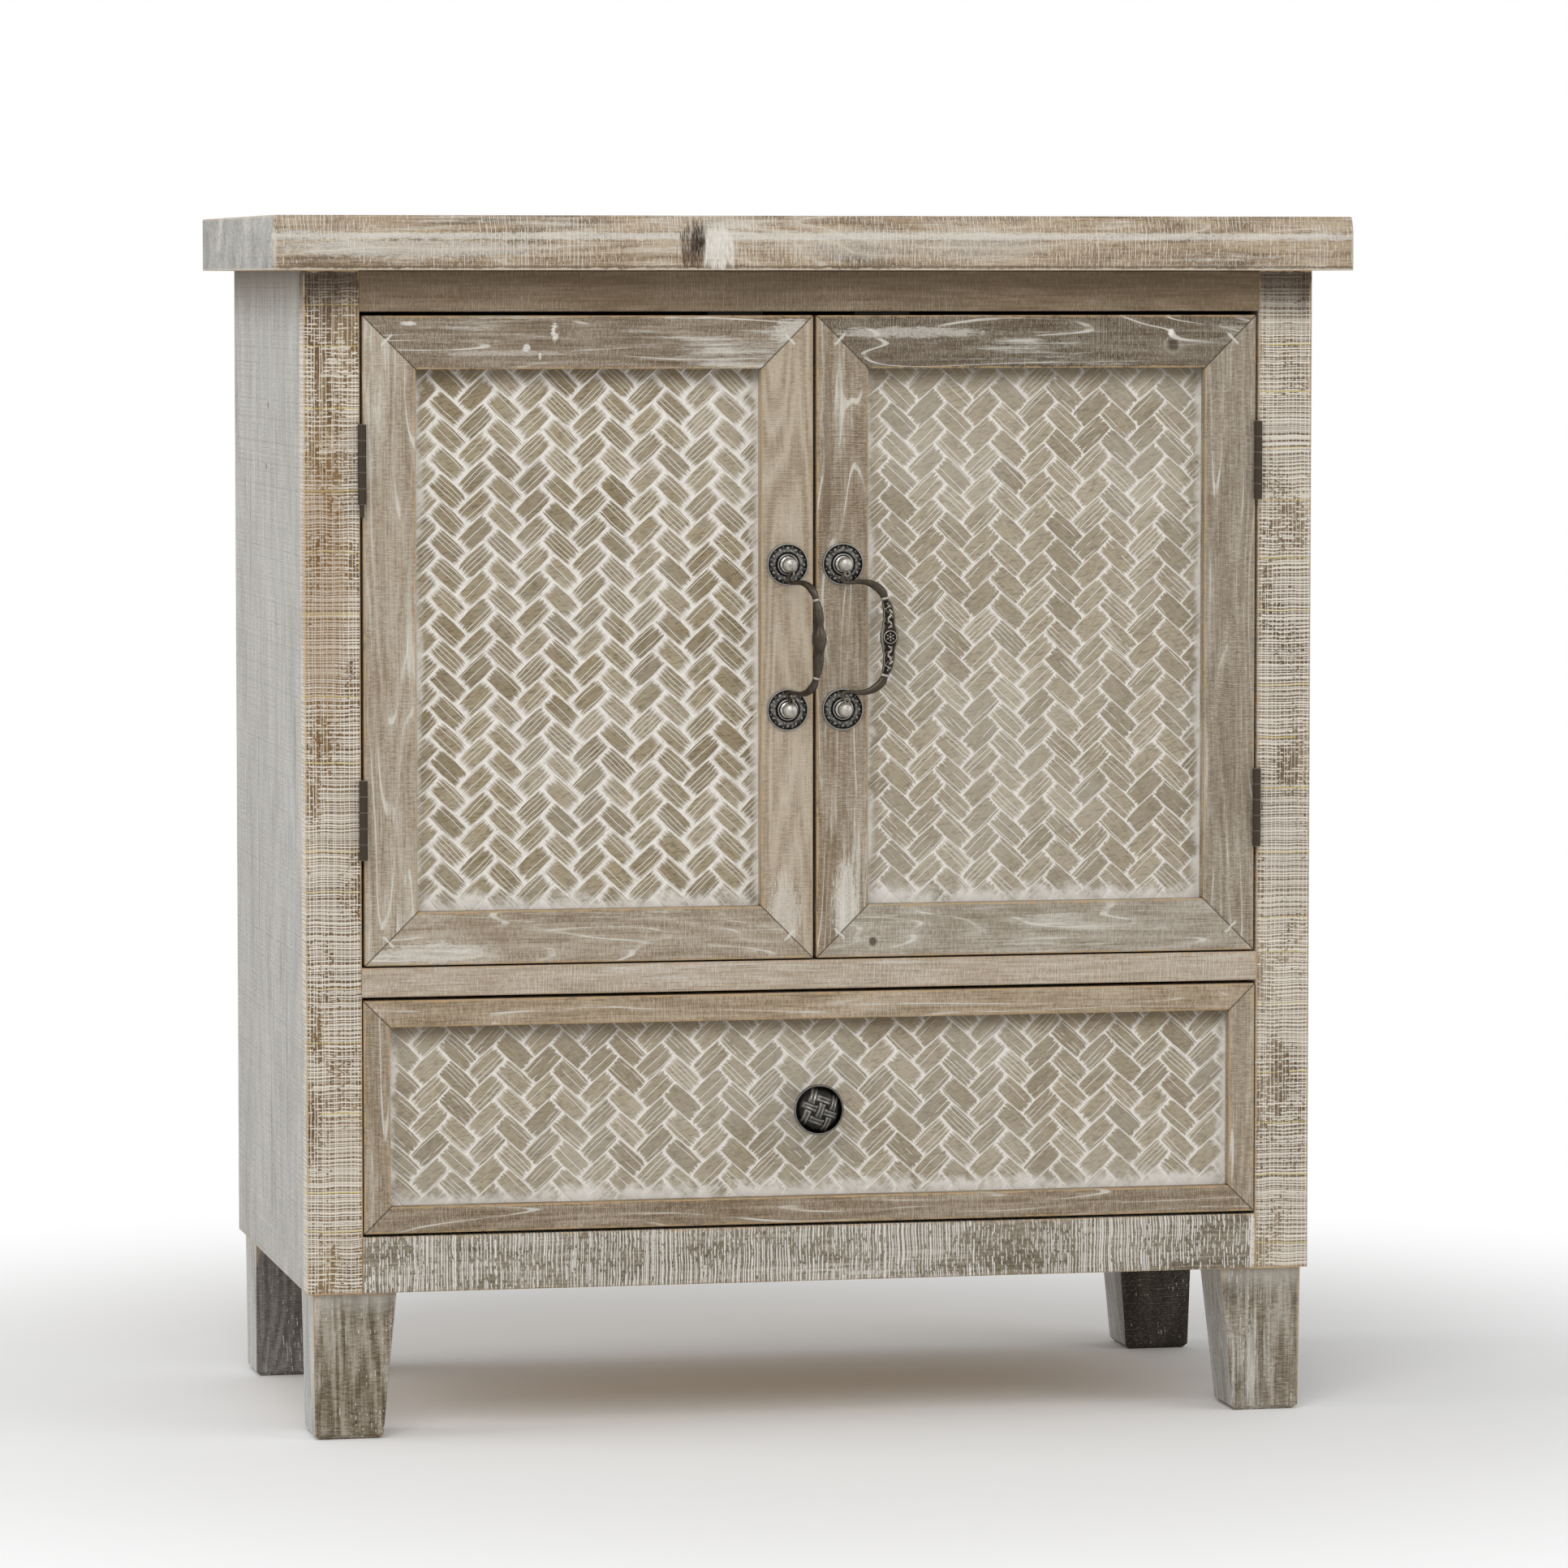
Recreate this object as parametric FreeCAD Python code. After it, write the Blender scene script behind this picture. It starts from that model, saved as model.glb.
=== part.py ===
import FreeCAD, Part
import math
import os

# Small rustic cabinet: two carved doors over one carved drawer, under a thick top, on four tapered legs.
# Millimetres. X runs across the front, Y runs from the front to the back, Z runs up from the floor.
# Pieces are drawn with Y = 0 on the face frame's front, and are moved to the middle of the depth at the end.

V = FreeCAD.Vector
ACROSS = V(1, 0, 0)
BACKWARD = V(0, 1, 0)
UP = V(0, 0, 1)
QUARTER_TURN = 90.0
TURN_STEP = 1.0

# Carcass
BODY_WIDTH = 657.5
BODY_DEPTH = 332.0
BODY_HEIGHT = 648.5
SIDE_THICKNESS = 18.0
BACK_THICKNESS = 6.0
BACK_REBATE = 9.0
FLOOR_THICKNESS = 15.0

# Top
TOP_THICKNESS = 34.5
TOP_SIDE_OVERHANG = 21.25
TOP_FRONT_OVERHANG = 22.0
TOP_BEVEL_HEIGHT = 9.5
TOP_BEVEL_DEPTH = 3.5
CLEAT_DEPTH = 25.0
CLEAT_HEIGHT = 26.0

# Face frame
FRAME_THICKNESS = 20.0
STILE_WIDTH = 35.5
TOP_RAIL_HEIGHT = 26.0
MID_RAIL_HEIGHT = 18.6
BOTTOM_RAIL_HEIGHT = 35.7
DRAWER_OPENING_HEIGHT = 153.0
ARRIS = 0.8

# Legs
LEG_HEIGHT = 94.0
LEG_TOP_SIZE = 53.5
LEG_OUTER_TAPER = 1.0
LEG_INNER_TAPER = 8.5
LEG_INSET = 4.0
FOOT_CHAMFER = 3.0
LEG_BOLT_RADIUS = 4.0
LEG_BOLT_IN_LEG = 40.0
CORNER_BLOCK_SIZE = 62.0

# Shelf
SHELF_THICKNESS = 15.0
SHELF_SET_BACK = 30.0
SHELF_ABOVE_FLOOR = 205.0
SHELF_END_GAP = 1.0
PEG_RADIUS = 3.0
PEG_LENGTH = 22.0
PEG_IN_SIDE = 10.0
PEG_FROM_EDGE = 45.0

# Doors
DOOR_THICKNESS = 18.0
DOOR_MEMBER_WIDTH = 33.8
DOOR_RECESS = 10.0
DOOR_REBATE = 8.0
DOOR_TOP_GAP = 2.6
DOOR_BOTTOM_GAP = 1.3
DOOR_MEETING_GAP = 2.3

# Drawer
DRAWER_FRONT_THICKNESS = 18.0
DRAWER_MEMBER_WIDTH = 17.0
DRAWER_RECESS = 9.0
DRAWER_REBATE = 7.0
DRAWER_TOP_GAP = 2.3
DRAWER_BOTTOM_GAP = 2.0
DRAWER_SIDE_GAP = 1.0
BOX_SIDE_GAP = 6.0
BOX_BACK_ROOM = 18.0
BOX_HEIGHT = 118.0
BOX_WALL = 12.0
BOX_BOTTOM_THICKNESS = 6.0
BOX_BOTTOM_RAISE = 8.0
BOX_GROOVE = 5.0
RUNNER_THICKNESS = 9.0
RUNNER_WIDTH = 44.0
GUIDE_HEIGHT = 22.0
GUIDE_CLEARANCE = 0.8

# Butt hinges
HINGE_LENGTH = 50.8
HINGE_GAP = 2.0
LEAF_THICKNESS = 0.9
LEAF_WIDTH = 16.0
KNUCKLE_RADIUS = 2.7
KNUCKLE_COUNT = 5
KNUCKLE_CLEARANCE = 0.2
PIN_RADIUS = 1.25
UPPER_HINGE_BELOW_DOOR_TOP = 93.5
LOWER_HINGE_ABOVE_DOOR_BOTTOM = 92.8
SLIPPED_PIN_DROP = 8.0

# Bail handles
POST_SPACING = 93.0
HANDLE_BELOW_DOOR_TOP = 205.2
ROSETTE_RADIUS = 13.6
ROSETTE_EDGE = 1.4
ROSETTE_RIM = 2.6
ROSETTE_RIM_WIDTH = 1.8
ROSETTE_DISH = 1.9
ROSETTE_BOSS_RADIUS = 6.6
ROSETTE_BOSS = 3.2
STUD_RADIUS = 2.0
STUD_BEHIND = 4.0
NUT_RADIUS = 4.0
NUT_THICKNESS = 2.8
NUT_SIDES = 6
POST_RADIUS = 3.4
POST_FOOT_RADIUS = 5.2
POST_FOOT_HEIGHT = 1.0
POST_HEAD_RADIUS = 5.0
POST_HEAD_OUT = 14.6
PIVOT_OUT = 9.6
BAIL_REACH = 28.5
BAIL_PIN_RADIUS = 1.6
BAIL_PIN_LENGTH = 7.5
GRIP_HALF_WIDTH = 6.4
GRIP_HALF_THICKNESS = 3.4
RIGHT_BAIL_TURN = 90.0

# The bail's curl, arm and swan neck down to the middle of the grip, as shares:
# reach from the pivot line, height over half the post spacing, then the grip's half width and half thickness.
BAIL_SHARES = (
    (-0.045, 0.850, 0.240, 0.450),
    (-0.080, 0.806, 0.225, 0.420),
    (-0.040, 0.765, 0.210, 0.390),
    (0.045, 0.752, 0.205, 0.380),
    (0.210, 0.760, 0.220, 0.410),
    (0.420, 0.761, 0.285, 0.470),
    (0.614, 0.728, 0.390, 0.560),
    (0.789, 0.645, 0.515, 0.650),
    (0.912, 0.523, 0.600, 0.740),
    (0.978, 0.376, 0.680, 0.820),
    (1.000, 0.194, 0.900, 0.940),
)

# Knob
KNOB_RADIUS = 16.5
KNOB_PROJECTION = 28.0
KNOB_RIM_OUT = 21.5
KNOB_RIM_WIDTH = 2.0
KNOB_RIM_STEP = 0.8
KNOB_UNDERSIDE_OUT = 14.0
KNOB_NECK_RADIUS = 5.5
KNOB_BASE_RADIUS = 9.0
KNOB_BASE_HEIGHT = 2.5
KNOB_SCREW_RADIUS = 2.0
KNOB_SCREW_IN_KNOB = 12.0
KNOB_SCREW_HEAD_RADIUS = 4.5
KNOB_SCREW_HEAD = 2.2

# Catches
CATCH_WIDTH = 36.0
CATCH_DEPTH = 18.0
CATCH_HEIGHT = 16.0
CATCH_FROM_MIDDLE = 30.0
STRIKE_THICKNESS = 1.2
STRIKE_WIDTH = 28.0
STRIKE_HEIGHT = 12.0

# Flats of the round pieces, and the steps of their curves
KNOB_SIDES = 32
ROSETTE_SIDES = 24
POST_SIDES = 16
BAIL_SIDES = 14
PIN_SIDES = 24
PLAIN_SIDES = 12
BAIL_STEPS = 2
BEND_STEPS = 3
DOME_STEPS = 4
DOME_TIP_SHARE = 0.25

# Clearances
SEAT_CLEARANCE = 0.3
PIN_CLEARANCE = 0.06
SCREW_CLEARANCE = 0.1
PANEL_CLEARANCE = 0.3

# Heights worked out from those sizes
FLOOR_Z = LEG_HEIGHT
BODY_TOP_Z = FLOOR_Z + BODY_HEIGHT
DRAWER_SILL_Z = FLOOR_Z + BOTTOM_RAIL_HEIGHT
MID_RAIL_Z = DRAWER_SILL_Z + DRAWER_OPENING_HEIGHT
DOOR_SILL_Z = MID_RAIL_Z + MID_RAIL_HEIGHT
DOOR_HEAD_Z = BODY_TOP_Z - TOP_RAIL_HEIGHT
DOOR_Z = (DOOR_SILL_Z + DOOR_BOTTOM_GAP, DOOR_HEAD_Z - DOOR_TOP_GAP)
DRAWER_Z = (DRAWER_SILL_Z + DRAWER_BOTTOM_GAP, MID_RAIL_Z - DRAWER_TOP_GAP)
SHELF_Z = DOOR_SILL_Z + SHELF_ABOVE_FLOOR
HANDLE_Z = DOOR_Z[1] - HANDLE_BELOW_DOOR_TOP

# Places across, measured out from the middle
BODY_X = BODY_WIDTH / 2
OPENING_X = BODY_X - STILE_WIDTH
INSIDE_X = BODY_X - SIDE_THICKNESS
DOOR_EDGE_X = DOOR_MEETING_GAP / 2
DOOR_HINGE_X = OPENING_X - HINGE_GAP
DRAWER_X = OPENING_X - DRAWER_SIDE_GAP
BOX_X = OPENING_X - BOX_SIDE_GAP
POST_X = DOOR_EDGE_X + DOOR_MEMBER_WIDTH / 2
PIN_X = OPENING_X - HINGE_GAP / 2

# Places from the front to the back
INSIDE_BACK_Y = BODY_DEPTH - BACK_THICKNESS
PIN_Y = -(KNUCKLE_RADIUS + KNUCKLE_CLEARANCE)


def grip_corners():
    """The grip's section: each corner's place along its width and along its thickness."""
    step = 2 * math.pi / BAIL_SIDES
    return [
        (GRIP_HALF_WIDTH * math.cos(i * step), GRIP_HALF_THICKNESS * math.sin(i * step))
        for i in range(BAIL_SIDES)
    ]


def bail_reach(width_share, thickness_share):
    """How far the bail reaches along a level line that leans so much along its width and its thickness."""
    section = max(wide * width_share + thick * thickness_share for wide, thick in grip_corners())
    return BAIL_REACH * width_share + section


def left_bail_turn():
    """The left bail's rest turn from straight out: as far right as leaves the right door free to open."""
    door_corner = math.hypot(PIN_X - DOOR_EDGE_X, DOOR_THICKNESS - PIN_Y)
    room = POST_X + (PIN_X - door_corner) - KNUCKLE_CLEARANCE - SEAT_CLEARANCE
    turn = 0.0
    while turn < QUARTER_TURN:
        wanted = math.radians(turn + TURN_STEP)
        if bail_reach(math.sin(wanted), math.cos(wanted)) > room:
            break
        turn += TURN_STEP
    return turn


LEFT_BAIL_TURN = left_bail_turn()


def front_reach():
    """How far the foremost point stands out from the face frame: the left bail, the knob or the top."""
    turn = math.radians(LEFT_BAIL_TURN)
    bail = PIVOT_OUT + bail_reach(math.cos(turn), math.sin(turn))
    return max(bail, KNOB_PROJECTION - DRAWER_RECESS, TOP_FRONT_OVERHANG)


MIDDLE_Y = (BODY_DEPTH - front_reach()) / 2


def block(x, y, z):
    """A square-edged board between the low and the high of each pair."""
    return Part.makeBox(x[1] - x[0], y[1] - y[0], z[1] - z[0], V(x[0], y[0], z[0]))


def prism(points, along):
    """A closed outline of points, extruded along a vector."""
    return Part.Face(Part.makePolygon(points + points[:1])).extrude(along)


def rod(radius, length, start, along, sides=PLAIN_SIDES):
    """A plain round bar drawn with flats, its corners on the radius."""
    side = UP if along.z == 0 else ACROSS
    other = along.cross(side)
    step = 2 * math.pi / sides
    corners = []
    for i in range(sides):
        corners.append(start + (side * math.cos(i * step) + other * math.sin(i * step)) * radius)
    return prism(corners, along * length)


def drill(radius, length, start, along, sides=PLAIN_SIDES):
    """The cutter of a plain hole, its flats on the radius."""
    return rod(radius / math.cos(math.pi / sides), length, start, along, sides)


def flat_faced(rings, level):
    """A closed solid of flat faces between rings of corners: one flat a side for level rings, else two."""
    faces = []
    if rings[0] != rings[-1]:
        faces += [Part.Face(Part.makePolygon(ring + ring[:1])) for ring in (rings[0], rings[-1])]
    for near, far in zip(rings, rings[1:]):
        for i in range(len(near)):
            corners = [near[i - 1], near[i], far[i], far[i - 1], near[i - 1]]
            outlines = [corners] if level else [corners[:3] + corners[:1], corners[2:] + corners[2:3]]
            faces += [Part.Face(Part.makePolygon(outline)) for outline in outlines]
    solid = Part.Solid(Part.Shell(faces))
    if solid.Volume < 0:
        solid.reverse()
    return solid


def mirrored(shape):
    """The same piece on the other side of the cabinet."""
    return shape.mirror(V(0, 0, 0), ACROSS)


def both_sides(shape):
    """A piece and its mirror image, as two solids of one group."""
    return [shape, mirrored(shape)]


def upright_bar(x, z):
    """A face frame upright, with the arrises of its front eased."""
    points = [
        V(x[0], FRAME_THICKNESS, z[0]),
        V(x[0], ARRIS, z[0]),
        V(x[0] + ARRIS, 0, z[0]),
        V(x[1] - ARRIS, 0, z[0]),
        V(x[1], ARRIS, z[0]),
        V(x[1], FRAME_THICKNESS, z[0]),
    ]
    return prism(points, UP * (z[1] - z[0]))


def cross_bar(x, z):
    """A face frame rail, with the arrises of its front eased."""
    points = [
        V(x[0], FRAME_THICKNESS, z[0]),
        V(x[0], ARRIS, z[0]),
        V(x[0], 0, z[0] + ARRIS),
        V(x[0], 0, z[1] - ARRIS),
        V(x[0], ARRIS, z[1]),
        V(x[0], FRAME_THICKNESS, z[1]),
    ]
    return prism(points, ACROSS * (x[1] - x[0]))


# Top board: a thick slab with a broad worn bevel along the front

def top_board():
    end = BODY_X + TOP_SIDE_OVERHANG
    top = BODY_TOP_Z + TOP_THICKNESS
    points = [
        V(-end, BODY_DEPTH, BODY_TOP_Z),
        V(-end, -TOP_FRONT_OVERHANG, BODY_TOP_Z),
        V(-end, -TOP_FRONT_OVERHANG, top - TOP_BEVEL_HEIGHT),
        V(-end, TOP_BEVEL_DEPTH - TOP_FRONT_OVERHANG, top),
        V(-end, BODY_DEPTH, top),
    ]
    return prism(points, ACROSS * (2 * end))


def top_cleats():
    z = (BODY_TOP_Z - CLEAT_HEIGHT, BODY_TOP_Z)
    x = (-INSIDE_X, INSIDE_X)
    front = block(x, (FRAME_THICKNESS, FRAME_THICKNESS + CLEAT_DEPTH), z)
    back = block(x, (INSIDE_BACK_Y - CLEAT_DEPTH, INSIDE_BACK_Y), z)
    return [front, back]


# Face frame: two stiles the full height, with three rails between them

def left_stile():
    return upright_bar((-BODY_X, -OPENING_X), (FLOOR_Z, BODY_TOP_Z))


def top_rail():
    return cross_bar((-OPENING_X, OPENING_X), (DOOR_HEAD_Z, BODY_TOP_Z))


def mid_rail():
    return cross_bar((-OPENING_X, OPENING_X), (MID_RAIL_Z, DOOR_SILL_Z))


def bottom_rail():
    return cross_bar((-OPENING_X, OPENING_X), (FLOOR_Z, DRAWER_SILL_Z))


# Carcass boards behind the face frame

def peg_places():
    """The Y of the front and the back shelf pegs."""
    front = FRAME_THICKNESS + SHELF_SET_BACK + PEG_FROM_EDGE
    return (front, INSIDE_BACK_Y - PEG_FROM_EDGE)


def left_side_panel():
    panel = block((-BODY_X, -INSIDE_X), (FRAME_THICKNESS, BODY_DEPTH), (FLOOR_Z, BODY_TOP_Z))
    rebate = block(
        (-INSIDE_X - BACK_REBATE, -INSIDE_X),
        (INSIDE_BACK_Y, BODY_DEPTH),
        (FLOOR_Z, BODY_TOP_Z),
    )
    panel = panel.cut(rebate)
    for y in peg_places():
        start = V(-INSIDE_X - PEG_IN_SIDE, y, SHELF_Z - PEG_RADIUS)
        panel = panel.cut(drill(PEG_RADIUS + PIN_CLEARANCE, PEG_IN_SIDE, start, ACROSS))
    return panel


def back_panel():
    edge = INSIDE_X + BACK_REBATE - PANEL_CLEARANCE
    return block((-edge, edge), (INSIDE_BACK_Y, BODY_DEPTH), (FLOOR_Z, BODY_TOP_Z))


def inside_board(top):
    """A board from side to side and from the face frame to the back, with its top at a height."""
    return block((-INSIDE_X, INSIDE_X), (FRAME_THICKNESS, INSIDE_BACK_Y), (top - FLOOR_THICKNESS, top))


def shelf():
    end = INSIDE_X - SHELF_END_GAP
    y = (FRAME_THICKNESS + SHELF_SET_BACK, INSIDE_BACK_Y - SHELF_END_GAP)
    return block((-end, end), y, (SHELF_Z, SHELF_Z + SHELF_THICKNESS))


def shelf_pegs():
    pegs = []
    for y in peg_places():
        start = V(-INSIDE_X - PEG_IN_SIDE, y, SHELF_Z - PEG_RADIUS)
        pegs += both_sides(rod(PEG_RADIUS, PEG_LENGTH, start, ACROSS))
    return pegs


# Legs: square at the top, tapered on the two inner faces, bolted into corner blocks

def square(inner, outer_inset, z, front):
    """A level square for one section of a leg: inner and outer set-ins from the leg's top size."""
    x = (-BODY_X + LEG_INSET + outer_inset, -BODY_X + LEG_INSET + LEG_TOP_SIZE - inner)
    near = LEG_INSET + outer_inset
    far = LEG_INSET + LEG_TOP_SIZE - inner
    y = (near, far) if front else (BODY_DEPTH - near, BODY_DEPTH - far)
    return [V(x[0], y[0], z), V(x[1], y[0], z), V(x[1], y[1], z), V(x[0], y[1], z)]


def leg_centre(front):
    """The bolt's place in a left leg, in the middle of the leg's top."""
    along = LEG_INSET + LEG_TOP_SIZE / 2
    return V(-BODY_X + along, along if front else BODY_DEPTH - along, 0)


def left_leg(front):
    sections = [
        square(0, 0, FLOOR_Z, front),
        square(LEG_INNER_TAPER, LEG_OUTER_TAPER, FOOT_CHAMFER, front),
        square(LEG_INNER_TAPER + FOOT_CHAMFER, LEG_OUTER_TAPER + FOOT_CHAMFER, 0, front),
    ]
    start = leg_centre(front) + UP * (FLOOR_Z - LEG_BOLT_IN_LEG)
    hole = drill(LEG_BOLT_RADIUS + SCREW_CLEARANCE, LEG_BOLT_IN_LEG, start, UP)
    return flat_faced(sections, True).cut(hole)


def left_corner_block(front):
    """A block inside a bottom corner, under the bottom panel, drilled for the leg's bolt."""
    x = (-INSIDE_X, -INSIDE_X + CORNER_BLOCK_SIZE)
    z = (FLOOR_Z, DRAWER_SILL_Z - FLOOR_THICKNESS)
    near = (FRAME_THICKNESS, FRAME_THICKNESS + CORNER_BLOCK_SIZE)
    y = near if front else (INSIDE_BACK_Y - CORNER_BLOCK_SIZE, INSIDE_BACK_Y)
    hole_start = leg_centre(front) + UP * z[0]
    hole = drill(LEG_BOLT_RADIUS + SCREW_CLEARANCE, z[1] - z[0], hole_start, UP)
    return block(x, y, z).cut(hole)


def left_leg_bolt(front):
    start = leg_centre(front) + UP * (FLOOR_Z - LEG_BOLT_IN_LEG)
    length = LEG_BOLT_IN_LEG + BOTTOM_RAIL_HEIGHT - FLOOR_THICKNESS
    return rod(LEG_BOLT_RADIUS, length, start, UP)


def all_corners(make):
    """The four copies of a left piece that has a front and a back form."""
    return both_sides(make(True)) + both_sides(make(False))


# Mitred frames with a panel held in a rebate behind their lip

def member(length, width, thickness, recess, rebate):
    """One member along X: outer edge at Z = 0, lip in front, rebate behind, both ends mitred inwards."""
    section = [
        V(0, thickness, 0),
        V(0, ARRIS, 0),
        V(0, 0, ARRIS),
        V(0, 0, width - ARRIS),
        V(0, ARRIS, width),
        V(0, recess, width),
        V(0, recess, width - rebate),
        V(0, thickness, width - rebate),
    ]
    face = [V(0, 0, 0), V(length, 0, 0), V(length - width, 0, width), V(width, 0, width)]
    return prism(section, ACROSS * length).common(prism(face, BACKWARD * thickness))


def frame_members(x, z, width, thickness, recess, rebate):
    """Bottom, right, top and left members round the outside of x and z."""
    across = x[1] - x[0]
    tall = z[1] - z[0]
    corners = [
        (V(x[0], 0, z[0]), 0, across),
        (V(x[1], 0, z[0]), -QUARTER_TURN, tall),
        (V(x[1], 0, z[1]), 2 * QUARTER_TURN, across),
        (V(x[0], 0, z[1]), QUARTER_TURN, tall),
    ]
    members = []
    for corner, turn, length in corners:
        bar = member(length, width, thickness, recess, rebate)
        bar.rotate(V(0, 0, 0), BACKWARD, turn)
        members.append(bar.translated(corner))
    return members


def framed_panel(x, z, width, thickness, recess, rebate):
    """The panel in a mitred frame's rebate, flush with the frame's back."""
    inset = width - rebate + PANEL_CLEARANCE
    return block((x[0] + inset, x[1] - inset), (recess, thickness), (z[0] + inset, z[1] - inset))


# Doors

LEFT_DOOR_X = (-DOOR_HINGE_X, -DOOR_EDGE_X)
RIGHT_DOOR_X = (DOOR_EDGE_X, DOOR_HINGE_X)
DOOR_FRAME = (DOOR_MEMBER_WIDTH, DOOR_THICKNESS, DOOR_RECESS, DOOR_REBATE)


def post_heights():
    """The heights of a handle's lower and upper post."""
    return (HANDLE_Z - POST_SPACING / 2, HANDLE_Z + POST_SPACING / 2)


def drilled_for_posts(bar, post_x):
    """A door member with the holes of the handle's two studs."""
    for z in post_heights():
        bar = bar.cut(drill(STUD_RADIUS + SCREW_CLEARANCE, DOOR_THICKNESS, V(post_x, 0, z), BACKWARD))
    return bar


def left_door_parts():
    bottom, meeting, top, hinge = frame_members(LEFT_DOOR_X, DOOR_Z, *DOOR_FRAME)
    return {
        "left_door_bottom_member": bottom,
        "left_door_meeting_member": drilled_for_posts(meeting, -POST_X),
        "left_door_top_member": top,
        "left_door_hinge_member": hinge,
        "left_door_panel": framed_panel(LEFT_DOOR_X, DOOR_Z, *DOOR_FRAME),
    }


def right_door_parts():
    bottom, hinge, top, meeting = frame_members(RIGHT_DOOR_X, DOOR_Z, *DOOR_FRAME)
    return {
        "right_door_bottom_member": bottom,
        "right_door_meeting_member": drilled_for_posts(meeting, POST_X),
        "right_door_top_member": top,
        "right_door_hinge_member": hinge,
        "right_door_panel": framed_panel(RIGHT_DOOR_X, DOOR_Z, *DOOR_FRAME),
    }


# Butt hinges: five knuckles on a loose pin, the frame's leaf with three and the door's with two

def knuckle_spans(bottom):
    """The low and high Z of each knuckle, from the bottom up, with the clearance taken off."""
    step = HINGE_LENGTH / KNUCKLE_COUNT
    half_gap = KNUCKLE_CLEARANCE / 2
    return [
        (bottom + i * step + half_gap, bottom + (i + 1) * step - half_gap) for i in range(KNUCKLE_COUNT)
    ]


def right_leaf(middle, on_frame):
    """A leaf of a right hinge at a height, with every second knuckle."""
    bottom = middle - HINGE_LENGTH / 2
    if on_frame:
        x = (OPENING_X - LEAF_THICKNESS, OPENING_X)
    else:
        x = (DOOR_HINGE_X, DOOR_HINGE_X + LEAF_THICKNESS)
    leaf = block(x, (KNUCKLE_CLEARANCE, LEAF_WIDTH), (bottom, bottom + HINGE_LENGTH))
    pieces = []
    for low, high in knuckle_spans(bottom)[0 if on_frame else 1 :: 2]:
        pieces.append(rod(KNUCKLE_RADIUS, high - low, V(PIN_X, PIN_Y, low), UP))
        pieces.append(block(x, (PIN_Y, KNUCKLE_CLEARANCE), (low, high)))
    bore = drill(PIN_RADIUS + PIN_CLEARANCE, HINGE_LENGTH, V(PIN_X, PIN_Y, bottom), UP, PIN_SIDES)
    return leaf.fuse(pieces).cut(bore).removeSplitter()


def hinge_middles():
    """The heights of the lower and the upper hinge."""
    return (DOOR_Z[0] + LOWER_HINGE_ABOVE_DOOR_BOTTOM, DOOR_Z[1] - UPPER_HINGE_BELOW_DOOR_TOP)


def right_leaves(on_frame):
    return [right_leaf(middle, on_frame) for middle in hinge_middles()]


def left_leaves(on_frame):
    return [mirrored(leaf) for leaf in right_leaves(on_frame)]


def hinge_pins():
    """Four plain pins: the upper left one has slipped down in its knuckles."""
    pins = []
    for middle in hinge_middles():
        start = V(PIN_X, PIN_Y, middle - HINGE_LENGTH / 2)
        pins += both_sides(rod(PIN_RADIUS, HINGE_LENGTH, start, UP, PIN_SIDES))
    pins[-1] = pins[-1].translated(UP * -SLIPPED_PIN_DROP)
    return pins


# Bail handles: a rosette and a round-headed post at each end, and a swan-neck bail that turns in the posts

def turned(outline, place, sides):
    """A turned piece from its outline of radius and distance out, about the line straight out of a place."""
    step = 2 * math.pi / sides
    rings = []
    for radius, out in outline:
        rings.append([
            place + V(radius * math.cos(i * step), -out, radius * math.sin(i * step)) for i in range(sides)
        ])
    return flat_faced(rings, True)


def bend(start, middle, end):
    """The points of an outline along the arc through three points, after its start."""
    curve = Part.Arc(*[V(radius, out, 0) for radius, out in (start, middle, end)]).toShape()
    return [(point.x, point.y) for point in curve.discretize(BEND_STEPS + 1)[1:]]


def dome(radius, low, high):
    """The points of a dome that is round about the axis, from its edge up to a small flat at its tip."""
    ball = (radius**2 + (high - low) ** 2) / (2 * (high - low))
    centre = high - ball
    edge = math.atan2(radius, low - centre)
    angles = [edge * (1 - i / DOME_STEPS) for i in range(DOME_STEPS)]
    points = [(ball * math.sin(angle), centre + ball * math.cos(angle)) for angle in angles]
    return points + [(points[-1][0] * DOME_TIP_SHARE, high)]


def rosette(place):
    """A dished disc with a raised rim, a raised middle and a hole for the stud."""
    hole = STUD_RADIUS + SCREW_CLEARANCE
    rim = ROSETTE_RADIUS - ROSETTE_RIM_WIDTH
    edge = (ROSETTE_RADIUS, ROSETTE_EDGE)
    outline = [(hole, 0), (ROSETTE_RADIUS, 0), edge]
    outline += bend(edge, ((ROSETTE_RADIUS + rim) / 2, ROSETTE_RIM), (rim, ROSETTE_DISH))
    outline += [(ROSETTE_BOSS_RADIUS, ROSETTE_BOSS), (hole, ROSETTE_BOSS), (hole, 0)]
    return turned(outline, place, ROSETTE_SIDES)


def post(place):
    """A stud through the door, a foot on the rosette, a stem and a domed head with the bail's bore."""
    outline = [
        (STUD_RADIUS, -DOOR_THICKNESS - STUD_BEHIND),
        (STUD_RADIUS, ROSETTE_BOSS),
        (POST_FOOT_RADIUS, ROSETTE_BOSS),
        (POST_RADIUS, ROSETTE_BOSS + POST_FOOT_HEIGHT),
        (POST_RADIUS, POST_HEAD_OUT - 2 * POST_HEAD_RADIUS),
        (POST_HEAD_RADIUS, PIVOT_OUT - BAIL_PIN_RADIUS),
    ]
    outline += dome(POST_HEAD_RADIUS, PIVOT_OUT, POST_HEAD_OUT)
    start = place + V(0, -PIVOT_OUT, -POST_HEAD_RADIUS)
    bore = drill(BAIL_PIN_RADIUS + PIN_CLEARANCE, 2 * POST_HEAD_RADIUS, start, UP, PIN_SIDES)
    return turned(outline, place, POST_SIDES).cut(bore)


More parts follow.
